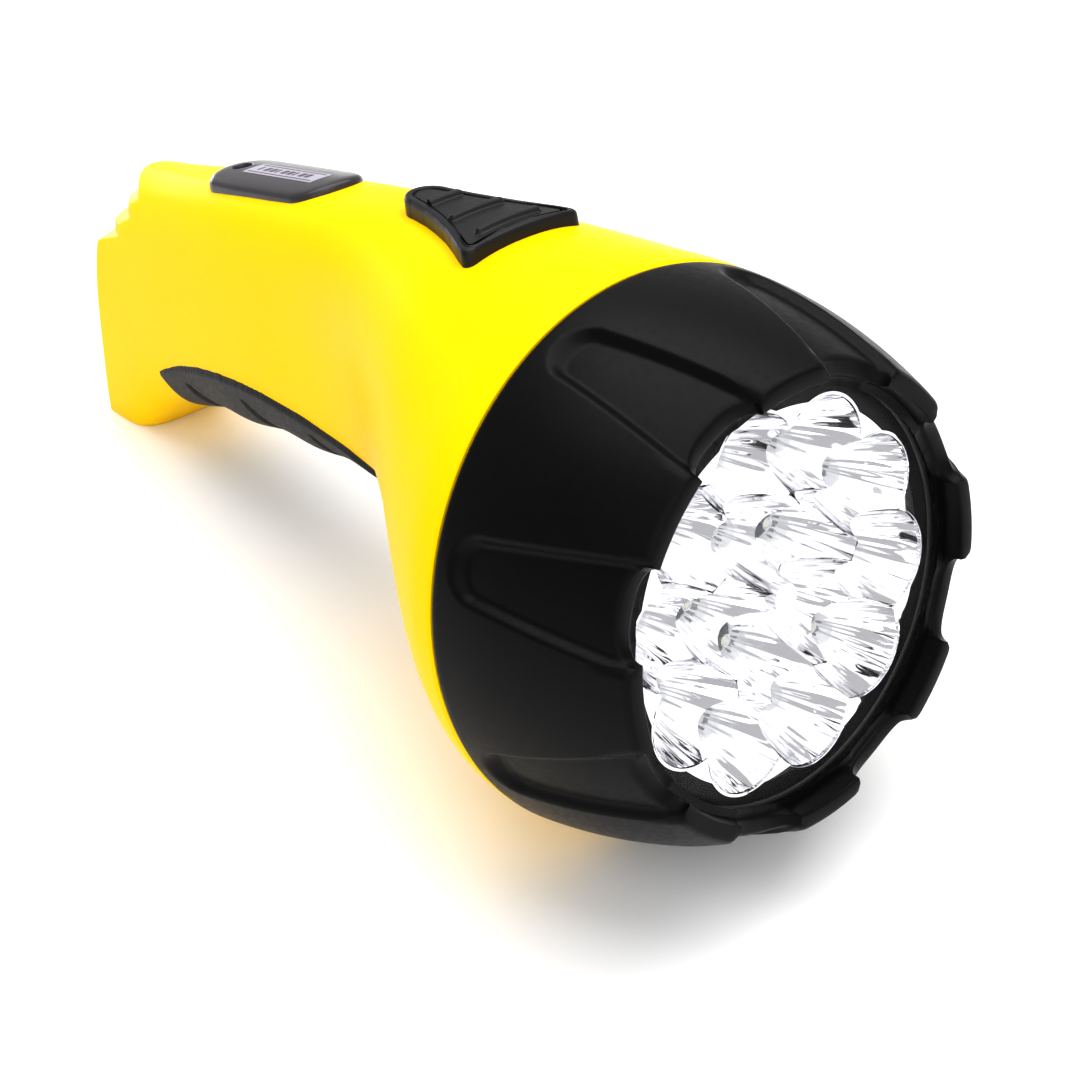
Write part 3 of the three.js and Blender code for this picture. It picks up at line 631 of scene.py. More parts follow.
def screw_well_cutter(number):
    """A flared hole for a screw, straight in from the left side."""
    x, z = node_middle(f"shell_screw_{number}")
    surface = half_width(x, z)
    levels = [(surface + out, radius) for out, radius in WELL_LEVELS] + [WELL_END]
    turn = full_turn(WELL_SIDES)
    points = [(x + r * math.cos(t), y, z + r * math.sin(t)) for y, r in levels for t in turn]
    return add_piece(f"well_cutter_{number}", np.array(points), capped_faces(len(levels), WELL_SIDES), YELLOW)


SEAM_BEVEL = 0.05 * MM
SEAM_HALF_GAP = 0.02 * MM


def half_body(source, sign, name):
    """One moulded half: the body cut along y = 0, with a small bevel along the seam."""
    mesh = source.data.copy()
    work = bmesh.new()
    work.from_mesh(mesh)
    geometry = list(work.verts) + list(work.edges) + list(work.faces)
    result = bmesh.ops.bisect_plane(
        work, geom=geometry, dist=1e-7, plane_co=(0, sign * SEAM_HALF_GAP, 0), plane_no=(0, -sign, 0),
        clear_outer=True,
    )
    rim = [edge for edge in result["geom_cut"] if isinstance(edge, bmesh.types.BMEdge)]
    bmesh.ops.holes_fill(work, edges=rim, sides=0)
    bmesh.ops.bevel(
        work, geom=rim, offset=SEAM_BEVEL, segments=2, profile=0.5, affect="EDGES", clamp_overlap=True,
    )
    work.to_mesh(mesh)
    work.free()
    finish_mesh(mesh, BODY_SHARP_ANGLE)
    piece = bpy.data.objects.new(name, mesh)
    bpy.context.scene.collection.objects.link(piece)
    return piece


def make_body():
    """The two yellow halves, with the screw wells and the thumb slide's slot in the left one."""
    rings = body_surface()
    faces = capped_faces(len(rings), BODY_COLUMNS)
    whole = add_piece("body_whole", np.concatenate(rings), faces, YELLOW, BODY_SHARP_ANGLE)
    right = half_body(whole, -1, "body_right")
    left = half_body(whole, 1, "body_left")
    bpy.data.objects.remove(whole)
    cut(left, [plug_slot_cutter()] + [screw_well_cutter(number) for number in range(1, SHELL_SCREWS + 1)])
    finish_mesh(left.data, BODY_SHARP_ANGLE)
    settle(right, "torch_body", "yellow_shell", "shell_right")
    settle(left, "torch_body", "yellow_shell", "shell_left")


# ---------------------------------------------------------------- bezel

def bezel_side(x):
    """Radius of the bezel's side between the flutes."""
    along = x / BEZEL_LENGTH
    return HEAD_RADIUS - BEZEL_TAPER * along - BEZEL_BULGE * along * along


def flute_depth(x, sideways):
    """Depth of a flute at x, `sideways` millimetres from its middle line."""
    behind = np.clip(FLUTE_REAR - x, 0.0, None)
    reach = np.hypot(behind, sideways)
    along = np.clip((x - FLUTE_REAR) / (BEZEL_LENGTH - FLUTE_REAR), 0.0, 1.0)
    half = FLUTE_REAR_RADIUS + (FLUTE_FRONT_HALF - FLUTE_REAR_RADIUS) * along
    inside = half - np.where(behind > 0, reach, np.abs(sideways))
    rearward = np.where(reach > 0, behind / np.maximum(reach, 1e-6), 0.0)
    slope_width = FLUTE_SLOPE + FLUTE_REAR_SLOPE * rearward ** 2
    return FLUTE_DEPTH * ramp(inside / slope_width, 0.4)


def rim_at(step):
    """Front edge of the bezel; step is -1 to 1 across a notch."""
    across = np.minimum(np.abs(step), 1.0)
    return BEZEL_LENGTH - NOTCH_DEPTH * (1 - across ** NOTCH_POWERS[0]) ** (1 / NOTCH_POWERS[1])


def bezel_columns():
    """Angles round the beam, closer together at the walls of the notches."""
    inside = np.sin(np.linspace(-math.pi / 2, math.pi / 2, 61))
    land = np.linspace(1.0, math.pi / NOTCHES / NOTCH_HALF_ANGLE * 2 - 1.0, 18)[1:-1]
    steps = np.concatenate([inside, land])
    offset = steps * NOTCH_HALF_ANGLE
    nearest = np.where(offset > math.pi / NOTCHES, offset - 2 * math.pi / NOTCHES, offset)
    return offset, nearest


BEZEL_REAR = 0.3
BEZEL_EDGE = 0.45                      # rounding of the front edge
LENS_SEAT = 28.0                       # front of the lip that holds the lens
BEZEL_INSIDE = (
    (LENS_SEAT, 32.75), (27.9, 32.2), (27.9, 31.5), (27.65, 31.5), (27.5, 33.6), (24.2, 33.6), (22.0, 35.6),
    (9.5, 40.1), (BEZEL_REAR, 40.1), (BEZEL_REAR, 42.0),
)
REAR_CHAMFER = (0.3, 0.08, 0.0)        # drop of the first rings below the side


def make_bezel():
    """The fluted shell, column by column round the beam: along its outside, over its rim and back inside."""
    offset, nearest = bezel_columns()
    shares = np.concatenate([[0.0, 0.006, 0.02], np.linspace(0.045, 0.93, 84), [0.955, 0.975]])
    rim = rim_at(nearest / NOTCH_HALF_ANGLE)
    profile = []
    for number, share in enumerate(shares):
        x = BEZEL_REAR + (rim - BEZEL_EDGE - BEZEL_REAR) * share / shares[-1]
        side = bezel_side(x)
        radius = side - flute_depth(x, side * nearest)
        profile.append((x, radius - REAR_CHAMFER[min(number, 2)]))
    outer = bezel_side(rim) - flute_depth(rim - BEZEL_EDGE, bezel_side(rim) * nearest)
    for angle in (30, 60, 90):
        turn = math.radians(angle)
        forwards = BEZEL_EDGE * math.sin(turn)
        profile.append((rim - BEZEL_EDGE + forwards, outer - BEZEL_EDGE * (1 - math.cos(turn))))
    for back, wider in ((0.0, 0.35), (0.1, 0.1), (0.35, 0.0)):
        profile.append((rim - back, np.full_like(rim, RIM_BORE + wider)))
    floor = np.minimum(rim - 0.6, LENS_SEAT)
    for x, radius in BEZEL_INSIDE:
        profile.append((np.minimum(np.full_like(rim, x), floor), np.full_like(rim, radius)))
    points = []
    for notch in range(NOTCHES):
        angles = (notch + 0.5) * 2 * math.pi / NOTCHES + offset
        for column, angle in enumerate(angles):
            for x, r in profile:
                points.append((x[column], -r[column] * math.sin(angle), r[column] * math.cos(angle)))
    faces = grid_faces(NOTCHES * len(offset), len(profile), close_columns=True, close_rows=True)
    piece = add_piece("bezel_shell", np.array(points), faces, BLACK, 55.0)
    settle(piece, "bezel_unit", "black_bezel", "bezel")


LENS_BACK = 26.0
LENS_EDGE = 0.3                        # rounding of the lens's edge
LENS_EDGE_CENTRE = 33.0                # radius of the circle that the rounding's centre runs on
LENS_RINGS = (31.0, 24.0, 12.0)
SEAL_SECTION = ((25.0, 32.5), 0.65)    # centre and radius
LENS_SIDES = 128


def make_lens():
    profile = [(LENS_BACK, 0.0)] + [(LENS_BACK, r) for r in LENS_RINGS[::-1]]
    profile += arc((LENS_BACK + LENS_EDGE, LENS_EDGE_CENTRE), LENS_EDGE, 180, 90, 4)[1:]
    profile += arc((LENS_FRONT - LENS_EDGE, LENS_EDGE_CENTRE), LENS_EDGE, 90, 0, 4)
    profile += [(LENS_FRONT, r) for r in LENS_RINGS] + [(LENS_FRONT, 0.0)]
    lens = add_piece("lens_disc", *lathe(profile, LENS_SIDES), LENS)
    settle(lens, "bezel_unit", "clear_lens", "lens")
    seal = add_piece("lens_seal", *swept([arc(*SEAL_SECTION, 0, 360, 17)[:-1]] * LENS_SIDES), SEAL)
    settle(seal, "bezel_unit", "seal_rubber", "lens_gasket")


# ---------------------------------------------------------------- reflector and LEDs

def cup_centres():
    """Middles of the cups in front view: the inner circle, then the outer one."""
    centres = []
    circles = ((INNER_CUPS, INNER_CUP_CIRCLE, 0.0), (OUTER_CUPS, OUTER_CUP_CIRCLE, OUTER_CUP_TURN))
    for count, circle, extra_turn in circles:
        for cup in range(count):
            angle = 2 * math.pi * (cup + 0.5) / count + extra_turn
            centres.append((circle * math.cos(angle), circle * math.sin(angle)))
    return np.array(centres)


CUPS = cup_centres()
CUP_ANGLES = 144
CUP_RINGS = 18
CUP_WALL = 0.7
WEB_RADIUS = 28.6                      # the cusps between the outer cups are filled in up to here


def cup_reach(cup, turn):
    """How far a cup runs in each direction before it meets a neighbour or its own mouth."""
    reach = np.full(len(turn), CUP_RADIUS)
    for other in range(len(CUPS)):
        if other == cup:
            continue
        gap = CUPS[other] - CUPS[cup]
        distance = math.hypot(*gap)
        if distance > 2 * CUP_RADIUS:
            continue
        facing = np.cos(turn - math.atan2(gap[1], gap[0]))
        with np.errstate(divide="ignore"):
            limit = np.where(facing > 1e-3, distance / 2 / np.maximum(facing, 1e-3), 1e9)
        reach = np.minimum(reach, limit)
    return reach


def cup_part(cup):
    """One cup as a thin closed shell: a parabola with fine ripples that run down it."""
    turn = full_turn(CUP_ANGLES)
    reach = cup_reach(cup, turn)
    phase = 1.7 * cup
    facets = 0.10 * np.cos(24 * turn + phase) + 0.05 * np.cos(17 * turn + 2.3 * phase)
    layers = []
    shares = np.linspace(0, 1, CUP_RINGS) ** 0.9
    for wall in (0.0, CUP_WALL):
        for share in (shares if wall == 0.0 else shares[::-1]):
            radius = CUP_HOLE + (reach - CUP_HOLE) * share
            depth = (radius ** 2 - CUP_HOLE ** 2) / (CUP_RADIUS ** 2 - CUP_HOLE ** 2)
            ripple = facets * share * (1 - share) * 4
            x = REFLECTOR_FRONT - CUP_DEPTH * (1 - depth) + ripple - wall
            layers.append(np.stack([
                x, CUPS[cup][0] + radius * np.cos(turn), CUPS[cup][1] + radius * np.sin(turn),
            ], 1))
    faces = grid_faces(len(layers), CUP_ANGLES, close_columns=True, close_rows=True)
    return np.concatenate(layers), faces


def scallop_edge(cup, turn):
    """Outer edge of one cup's mouth as seen from the beam axis, in each direction."""
    centre = CUPS[cup]
    along = centre[0] * np.cos(turn) + centre[1] * np.sin(turn)
    across = centre[0] ** 2 + centre[1] ** 2 - along ** 2
    reach = CUP_RADIUS ** 2 - across
    return np.where((reach > 0) & (along > 0), along + np.sqrt(np.clip(reach, 0, None)), 0.0)


MIDDLE_STAR = (
    (REFLECTOR_FRONT - 0.05, 0.0), (REFLECTOR_FRONT, 1.2), (REFLECTOR_FRONT - 0.05, 2.2), (23.5, 2.2),
    (23.5, 0.0),
)
# The skirt and its front ring are black because the cups' outer walls lie in shade behind the reflector:
# painted shade.
SKIRT_RADIUS = 33.2
SKIRT_SECTION = (
    (8.9, 31.5), (8.9, 39.0), (10.2, 39.0), (10.4, SKIRT_RADIUS), (24.2, SKIRT_RADIUS), (24.2, 32.2),
    (10.9, 32.2), (10.9, 31.5),
)
SKIRT_SIDES = 360


def make_reflector():
    """The chrome cups with the web between them, and a black skirt round them that paints the shade on the
    cups' outer walls.
    """
    cups = add_piece("reflector_cups", *join_parts([cup_part(cup) for cup in range(len(CUPS))]), CHROME, 40.0)
    settle(cups, "torch_body", "reflector_chrome", "reflector")
    middle = add_piece("reflector_middle", *lathe(MIDDLE_STAR, 40), CHROME)
    settle(middle, "torch_body", "reflector_chrome")
    turn = full_turn(SKIRT_SIDES)
    edge = np.max([scallop_edge(cup, turn) for cup in range(INNER_CUPS, len(CUPS))], axis=0)
    front_ring = []
    web = []
    for inner in edge:
        outer = max(inner, WEB_RADIUS) + 0.15
        front_ring.append(((25.35, outer), (25.35, SKIRT_RADIUS), (24.3, SKIRT_RADIUS), (24.3, outer + 0.6)))
        web.append(((25.6, inner - 0.2), (25.6, outer + 0.1), (25.0, outer + 0.1), (25.0, inner - 0.2)))
    settle(add_piece("reflector_web", *swept(web), CHROME), "torch_body", "reflector_chrome")
    # Black skirt and front ring: painted shade on the cups' outer walls.
    skirt = join_parts([swept([SKIRT_SECTION] * SKIRT_SIDES), swept(front_ring)])
    settle(add_piece("reflector_shade_skirt", *skirt, BLACK), "torch_body", "black_bezel")


LED_FLANGE = 2.9
LED_ANVIL = ((1.2, 0.0), (1.2, 0.5), (4.6, 0.55), (5.2, 1.0), (5.2, 0.8), (4.8, 0.5), (4.8, 0.0))
LED_DIE = ((4.7, 0.0), (4.85, 0.62), (5.05, 0.66), (5.2, 0.3), (5.22, 0.0))


def led_profile():
    """A round LED from its flange to its domed tip."""
    straight = LED_HEIGHT - LED_RADIUS
    body = [(0.0, 0.0), (0.0, LED_FLANGE), (0.9, LED_FLANGE), (1.0, LED_FLANGE - 0.1), (1.0, LED_RADIUS)]
    body += [(x, LED_RADIUS) for x in np.linspace(1.6, straight, 5)]
    return body + [(straight + y, r) for y, r in arc((0.0, 0.0), LED_RADIUS, 90, 0, 14)[1:]]


def led_part(profile, segments, centre):
    """A turned part of an LED in one cup, from a profile that starts at the LED's base."""
    return lathe([(LED_BASE + x, r) for x, r in profile], segments, centre)


def make_leds():
    for number, centre in enumerate(CUPS):
        name = f"led_{number + 1:02d}"
        dome = add_piece(f"{name}_dome", *led_part(led_profile(), 40, centre), RESIN)
        settle(dome, "torch_body", "led_resin", name)
    anvils = join_parts([led_part(LED_ANVIL, 24, centre) for centre in CUPS])
    settle(add_piece("led_anvils", *anvils, STEEL), "torch_body", "steel")
    dice = join_parts([led_part(LED_DIE, 20, centre) for centre in CUPS])
    settle(add_piece("led_dice", *dice, PHOSPHOR), "torch_body", "led_resin")


# ---------------------------------------------------------------- switch button

def switch_half(x):
    """Half width of the button: nearly straight at the rear, then flaring towards its wide front edge."""
    stations = (-50.5, -46.4, -41.7, -37.7, -33.2, -29.6, -26.7, -24.6, -23.5)
    widths = (4.0, 4.3, 5.2, 6.3, 7.8, 9.3, 10.6, 11.4, 11.6)
    return np.interp(x, stations, widths)


def rounded_outline(rear, front, half, rear_radius, front_radius, count):
    """A symmetric outline in top view as (x, y), evenly spaced, with round corners."""
    xs = np.linspace(rear, front, 500)
    y = np.array([half(x) for x in xs])
    y = y * np.sqrt(np.clip(1 - np.clip((rear + rear_radius - xs) / rear_radius, 0, 1) ** 2.3, 0, 1))
    pinch = np.clip((xs - front + front_radius) / front_radius, 0, 1)
    y = y - front_radius * (1 - np.sqrt(np.clip(1 - pinch ** 2, 0, 1)))
    side = np.stack([xs, y], 1)
    loop = np.concatenate([side, side[::-1] * (1, -1)])
    length = np.concatenate([[0], np.cumsum(np.hypot(*np.diff(loop, axis=0).T))])
    places = np.linspace(0, length[-1], count, endpoint=False)
    return np.stack([np.interp(places, length, loop[:, 0]), np.interp(places, length, loop[:, 1])], 1)


def drawn_in(x, y, anchor, inset):
    """The point (x, y) brought `inset` millimetres nearer to (anchor, 0), and not past it."""
    distance = max(math.hypot(x - anchor, y), 1e-6)
    scale = max(distance - inset, 0.0) / distance
    return anchor + (x - anchor) * scale, y * scale


SWITCH_RIBS = ((-42.8, 3.3), (-34.6, 4.6), (-26.9, 5.6))       # place and half length
RIB_HEIGHT = 0.8
RIB_RADIUS = 1.0
RIB_SLOPE = 0.6
SWITCH_MIDDLE = -37.0
SWITCH_HEIGHT = 50.75                  # of the top at the button's middle
SWITCH_FALL = 0.085                    # per millimetre forwards
SWITCH_CROWN = (1.05, 10.9)            # drop at the side, and how far out that is


def switch_top(x, y):
    """Height of the button's top: it falls slightly to the front and is gently crowned."""
    drop, side = SWITCH_CROWN
    return SWITCH_HEIGHT - SWITCH_FALL * (x - SWITCH_MIDDLE) - drop * (y / side) ** 2


def rib_lift(x, y):
    """Height of the nearest thumb rib at a point of the button."""
    lift = 0.0
    for centre, half in SWITCH_RIBS:
        beyond = max(abs(y) - half, 0.0)
        distance = math.hypot(x - centre, beyond)
        lift = max(lift, RIB_HEIGHT * float(ramp((RIB_RADIUS - distance) / RIB_SLOPE, 0.4)))
    return lift


SWITCH_CORNERS = (4.6, 1.7)            # rounding at the rear and at the front
SWITCH_SPINE = (-46.0, -32.0)          # the line that the button's rings are drawn in towards
SWITCH_FRONT_REACH = 6.0               # a point in front of the spine is drawn in towards one this far behind
SWITCH_RINGS = (
    (0.05, -1.0), (0.1, -0.6), (0.25, -0.25), (0.5, -0.06), (0.8, 0.0), (1.35, 0.0), (1.5, -0.08),
    (1.62, -0.4), (1.9, -0.42), (2.05, -0.3), (2.3, -0.22),
)                                      # inset and height over the button's top


def switch_ring(outline, inset, lift):
    """The button's outline drawn in, at a height over its top."""
    ring = []
    for x, y in outline:
        anchor = max(x, SWITCH_SPINE[0])
        if x > SWITCH_SPINE[1]:
            anchor = max(x - SWITCH_FRONT_REACH, SWITCH_SPINE[1])
        px, py = drawn_in(x, y, anchor, inset)
        ring.append((px, py, switch_top(px, py) + lift))
    return ring


def make_switch():
    """The button's rim and groove, open inside, where the field lies."""
    columns = 320
    outline = rounded_outline(SWITCH_REAR, SWITCH_FRONT, switch_half, *SWITCH_CORNERS, columns)
    rings = [[(x, y, top_height(x, y) + lift) for x, y in outline] for lift in (-0.9, 0.35)]
    rings += [switch_ring(outline, inset, lift) for inset, lift in SWITCH_RINGS]
    faces = grid_faces(len(rings), columns, close_columns=True)
    faces.append(tuple(range(columns - 1, -1, -1)))
    rim = add_piece("switch_rim", np.concatenate(rings), faces, BLACK_SWITCH, 30.0)
    settle(rim, "switch", "black_switch", "switch_button")
    make_switch_field()


FIELD_THICKNESS = 0.8


def make_switch_field():
    """The slightly sunken field inside the button's groove, with its three thumb ribs."""
    xs = np.linspace(SWITCH_REAR + 2.0, SWITCH_FRONT - 1.9, 170)
    across = np.linspace(-1, 1, 110)
    points = []
    for x in xs:
        rear_pinch = math.sqrt(max(1 - max((SWITCH_REAR + 5.4 - x) / 3.4, 0.0) ** 2.3, 0.0))
        half = max((float(switch_half(x)) - 1.95) * rear_pinch, 0.05)
        half = half - 0.5 * max((x - (SWITCH_FRONT - 2.8)) / 0.9, 0.0) ** 2
        for share in across:
            y = half * share
            points.append((x, y, switch_top(x, y) - 0.2 + rib_lift(x, y)))
    points += [(x, y, z - FIELD_THICKNESS) for x, y, z in points]
    field = add_piece("switch_field", np.array(points), slab_faces(len(xs), len(across)), BLACK_SWITCH, 42.0)
    settle(field, "switch", "black_switch")


# ---------------------------------------------------------------- label plate

def plate_half(x):
    """Half width of the plate."""
    return np.interp(x, (PLATE_REAR, -100.0, -85.0, PLATE_FRONT), (7.35, 7.6, 7.6, 7.3))


def plate_top(x, y):
    """Height of the plate's flat top, which is only slightly crowned."""
    return np.interp(x, (PLATE_REAR, PLATE_FRONT), (49.5, 50.4)) - 0.9 * (y / 7.5) ** 2


INDICATOR_X = -106.0
LABEL = (-101.9, -79.0, 2.45)          # rear, front and half width of the printed field


PLATE_CORNERS = (5.6, 6.0)             # rounding at the rear and at the front
PLATE_SPINE = (-104.0, -79.0)          # the line that the plate's rings are drawn in towards
PLATE_RINGS = (
    (0.05, -0.85), (0.22, -0.45), (0.5, -0.2), (0.9, -0.06), (1.5, 0.0), (2.6, 0.03), (4.2, 0.04),
    (6.2, 0.05),
)                                      # inset and height over the plate's top


def plate_ring(outline, inset, lift, height_at):
    """The plate's outline drawn in, at a height over the surface that height_at gives."""
    ring = []
    for x, y in outline:
        px, py = drawn_in(x, y, min(max(x, PLATE_SPINE[0]), PLATE_SPINE[1]), inset)
        ring.append((px, py, height_at(px, py) + lift))
    return ring


def make_plate():
    outline = rounded_outline(PLATE_REAR, PLATE_FRONT, plate_half, *PLATE_CORNERS, 260)
    rings = [plate_ring(outline, inset, lift, top_height) for inset, lift in ((0.1, -0.8), (0.0, 0.25))]
    rings += [plate_ring(outline, inset, lift, plate_top) for inset, lift in PLATE_RINGS]
    faces = capped_faces(len(rings), len(outline))
    plate = add_piece("label_plate_cover", np.concatenate(rings), faces, GREY, 30.0)
    cut(plate, [indicator_hole_cutter()])
    finish_mesh(plate.data, 30.0)
    settle(plate, "torch_body", "grey_plate", "label_plate")


INDICATOR_RADIUS = 1.5
HOLE_LEVELS = ((-1.1, 1.75), (-0.35, 1.8), (-0.1, 1.95), (0.1, 2.25), (1.0, 2.6))     # height, radius


def indicator_part(levels, segments):
    """A turned solid that stands on the plate at the indicator, from (height, radius) points."""
    top = float(plate_top(INDICATOR_X, 0.0))
    turn = full_turn(segments)
    points = [(INDICATOR_X + r * math.cos(t), r * math.sin(t), top + z) for z, r in levels for t in turn]
    return np.array(points), capped_faces(len(levels), segments)


def indicator_hole_cutter():
    return add_piece("hole_cutter", *indicator_part(HOLE_LEVELS, 48), GREY)


def make_indicator():
    levels = [(-1.4, INDICATOR_RADIUS)]
    levels += [(-1.0 + 0.5 * math.sin(a), INDICATOR_RADIUS * math.cos(a)) for a in np.linspace(0, 1.5, 8)]
    light = add_piece("charge_light", *indicator_part(levels, 40), INDICATOR)
    settle(light, "torch_body", "indicator_lens", "charge_indicator")


def flat_mark(x_range, y_range, lift, thickness=0.06):
    """A thin printed rectangle that follows the plate's top."""
    xs = np.linspace(*x_range, 12)
    ys = np.linspace(*y_range, 6)
    upper = [(x, y, float(plate_top(x, y)) + lift) for x in xs for y in ys]
    lower = [(x, y, z - thickness) for x, y, z in upper]
    return np.array(upper + lower), slab_faces(len(xs), len(ys))


FILM_LIFT = 0.09
PRINT_LIFT = 0.13
BARS = 9
BAR_PITCH = 1.95
BAR_HALF_LENGTH = 0.85
BAR_WIDTHS = (0.55, 1.25, 1.25)        # used in turn


def make_label():
    """A pale film with two lines and a row of generic bars in place of its text."""
    rear, front, half = LABEL
    film = add_piece("label_film", *flat_mark((rear, front), (-half, half), FILM_LIFT), FILM)
    settle(film, "torch_body", "sticker_film", "label_sticker")
    inner = (rear + 1.0, front - 1.0)
    marks = [
        flat_mark(inner, (-half + 0.55, -half + 0.8), PRINT_LIFT),
        flat_mark(inner, (half - 0.8, half - 0.55), PRINT_LIFT),
    ]
    for number in range(BARS):
        start = inner[0] + 1.6 + number * BAR_PITCH
        end = start + BAR_WIDTHS[number % len(BAR_WIDTHS)]
        marks.append(flat_mark((start, end), (-BAR_HALF_LENGTH, BAR_HALF_LENGTH), PRINT_LIFT))
    settle(add_piece("label_print", *join_parts(marks), INK), "torch_body", "sticker_film")


# ---------------------------------------------------------------- grip

GRIP_REAR = -133.0
GRIP_FRONT = -58.5
GRIP_GROOVES = (-119.5, -96.5, -74.5)
GRIP_CRESTS = (-131.0, -108.0, -84.0, -62.0)
GRIP_SKIN = 0.85                       # how far the rubber stands out between the swells
GRIP_LEAST = 0.08                      # and the least anywhere, in the grooves
SWELL_HEIGHT = 1.15
SWELL_WIDTH = 7.5
GROOVE_DEPTH = 1.9
GROOVE_BEND = 5.5                      # how far a groove's ends run backwards
GROOVE_HALF_WIDTH = (0.4, 1.9)         # at its ends, and what is added in its middle


def grip_boundary(x):
    """Height of the grip's upper edge on the side of the handle."""
    stations = (-137.5, -134.0, -130.0, -123.0, -115.0, -107.0, -99.0, -92.0, -80.0, -68.0, -59.0)
    heights = (4.6, 6.7, 8.3, 10.2, 11.5, 12.0, 11.9, 11.3, 9.3, 5.6, 0.0)
    return float(np.interp(x, stations, heights))


def under_line(x, edge_height, count):
    """Points across the underside at x, from the right boundary to the left, with outward normals."""
    y, z = half_ring(x, 200)
    low = z <= max(edge_height, z[0] + 0.5)
    keep = max(int(low.sum()), 3)
    y = y[:keep]
    z = z[:keep]
    line_y = np.concatenate([-y[::-1], y[1:]])
    line_z = np.concatenate([z[::-1], z[1:]])
    length = np.concatenate([[0], np.cumsum(np.hypot(np.diff(line_y), np.diff(line_z)))])
    places = np.linspace(0, length[-1], count)
    line_y = np.interp(places, length, line_y)
    line_z = np.interp(places, length, line_z)
    slope_y = np.gradient(line_y)
    slope_z = np.gradient(line_z)
    size = np.hypot(slope_y, slope_z)
    return line_y, line_z, slope_z / size, -slope_y / size, places, length[-1]


def grip_proud(x, from_edge, from_ends, share):
    """How far the rubber stands out: a rounded border, finger swells, and a crescent groove behind each."""
    border = ramp(np.minimum(from_edge, from_ends) / 1.0, 0.45)
    under = 1.0 - np.abs(share) ** 1.5
    swell = 0.0
    for crest in GRIP_CRESTS:
        swell = np.maximum(swell, np.exp(-((x - crest) / SWELL_WIDTH) ** 2))
    groove = 0.0
    for middle in GRIP_GROOVES:
        line = middle - GROOVE_BEND * (np.abs(share) / 0.8) ** 2
        ends, extra = GROOVE_HALF_WIDTH
        width = ends + extra * (1 - np.clip(np.abs(share) / 0.88, 0, 1) ** 4)
        cutoff = ramp((0.84 - np.abs(share)) / 0.12, 0.4)
        groove = np.maximum(groove, cutoff * ramp((width - np.abs(x - line)) / 0.8, 0.4))
    return border * np.maximum(GRIP_SKIN + SWELL_HEIGHT * swell * under - GROOVE_DEPTH * groove, GRIP_LEAST)


GRIP_DEPTH = 1.1                       # how far the rubber goes below the handle's surface


def make_grip():
    """The rubber skin under the handle, laid out along the outline of the body."""
    rows = 240
    columns = 120
    outer = []
    inner = []
    for u in np.linspace(0, 1, rows):
        middle = GRIP_REAR + (GRIP_FRONT - GRIP_REAR) * u
        edge_height = grip_boundary(middle)
        line_y, line_z, normal_y, normal_z, places, total = under_line(middle, edge_height, columns)
        share = places / total * 2 - 1
        x = middle - (1 - u) * 4.2 * np.abs(share) ** 3
        shift = np.array([section_at(value)[2] - section_at(middle)[2] for value in x])
        line_z = line_z + shift * (1 - np.abs(share))
        from_edge = np.minimum(places, total - places)
        from_ends = min(u, 1 - u) * (GRIP_FRONT - GRIP_REAR)
        proud = grip_proud(x, from_edge, from_ends, share)
        outer.append(np.stack([x, line_y + normal_y * proud, line_z + normal_z * proud], 1))
        inner.append(np.stack([x, line_y - normal_y * GRIP_DEPTH, line_z - normal_z * GRIP_DEPTH], 1))
    points = np.concatenate(outer + inner)
    skin = add_piece("grip_rubber_skin", points, slab_faces(rows, columns), RUBBER, 50.0)
    settle(skin, "torch_body", "grip_rubber", "grip_insert")


# ---------------------------------------------------------------- plug

PIN_LENGTH = 19.0
PIN_RADIUS = 2.0
SLEEVE_RADIUS = 1.85
TIP_FLAT = 0.7
TIP_ROUNDING = 1.3


def make_pins():
    """The two round pins: a rounded tip, a bare part and a slightly thinner sleeve."""
    for name in ("plug_pin_upper", "plug_pin_lower"):
        centre_x, centre_z = node_middle(name)
        tip = centre_x - PIN_LENGTH / 2
        profile = [(tip, 0.0), (tip, TIP_FLAT)]
        for a in np.linspace(0.2, math.pi / 2, 7):
            x = tip + TIP_ROUNDING - TIP_ROUNDING * math.cos(a)
            profile.append((x, TIP_FLAT + TIP_ROUNDING * math.sin(a)))
        profile += [(tip + 6.0, PIN_RADIUS), (tip + 8.8, PIN_RADIUS), (tip + 9.0, SLEEVE_RADIUS)]
        profile += [(tip + 18.6, SLEEVE_RADIUS), (tip + PIN_LENGTH, 1.7), (tip + PIN_LENGTH, 0.0)]
        pin = add_piece(f"{name}_turned", *lathe(profile, 48, (0.0, centre_z)), STEEL)
        settle(pin, "plug", "steel", name)


def rounded_block(x_range, y_range, half_height, radius):
    """A block with rounded edges, as high above the plug's middle as below it."""
    low = np.array([x_range[0], y_range[0], PLUG_MIDDLE - half_height])
    high = np.array([x_range[1], y_range[1], PLUG_MIDDLE + half_height])
    work = bmesh.new()
    bmesh.ops.create_cube(work, size=1.0)
    for vertex in work.verts:
        vertex.co = Vector(np.array(vertex.co) * (high - low) + (high + low) / 2)
    bmesh.ops.bevel(work, geom=list(work.edges), offset=radius, segments=4, profile=0.5, affect="EDGES")
    work.verts.index_update()
    points = np.array([vertex.co[:] for vertex in work.verts])
    faces = [tuple(vertex.index for vertex in face.verts) for face in work.faces]
    work.free()
    return points, faces


THUMB_PLATE = (-137.0, -127.5)
THUMB_RIBS = 4
THUMB_RIB_START = -135.6
THUMB_RIB_PITCH = 2.25


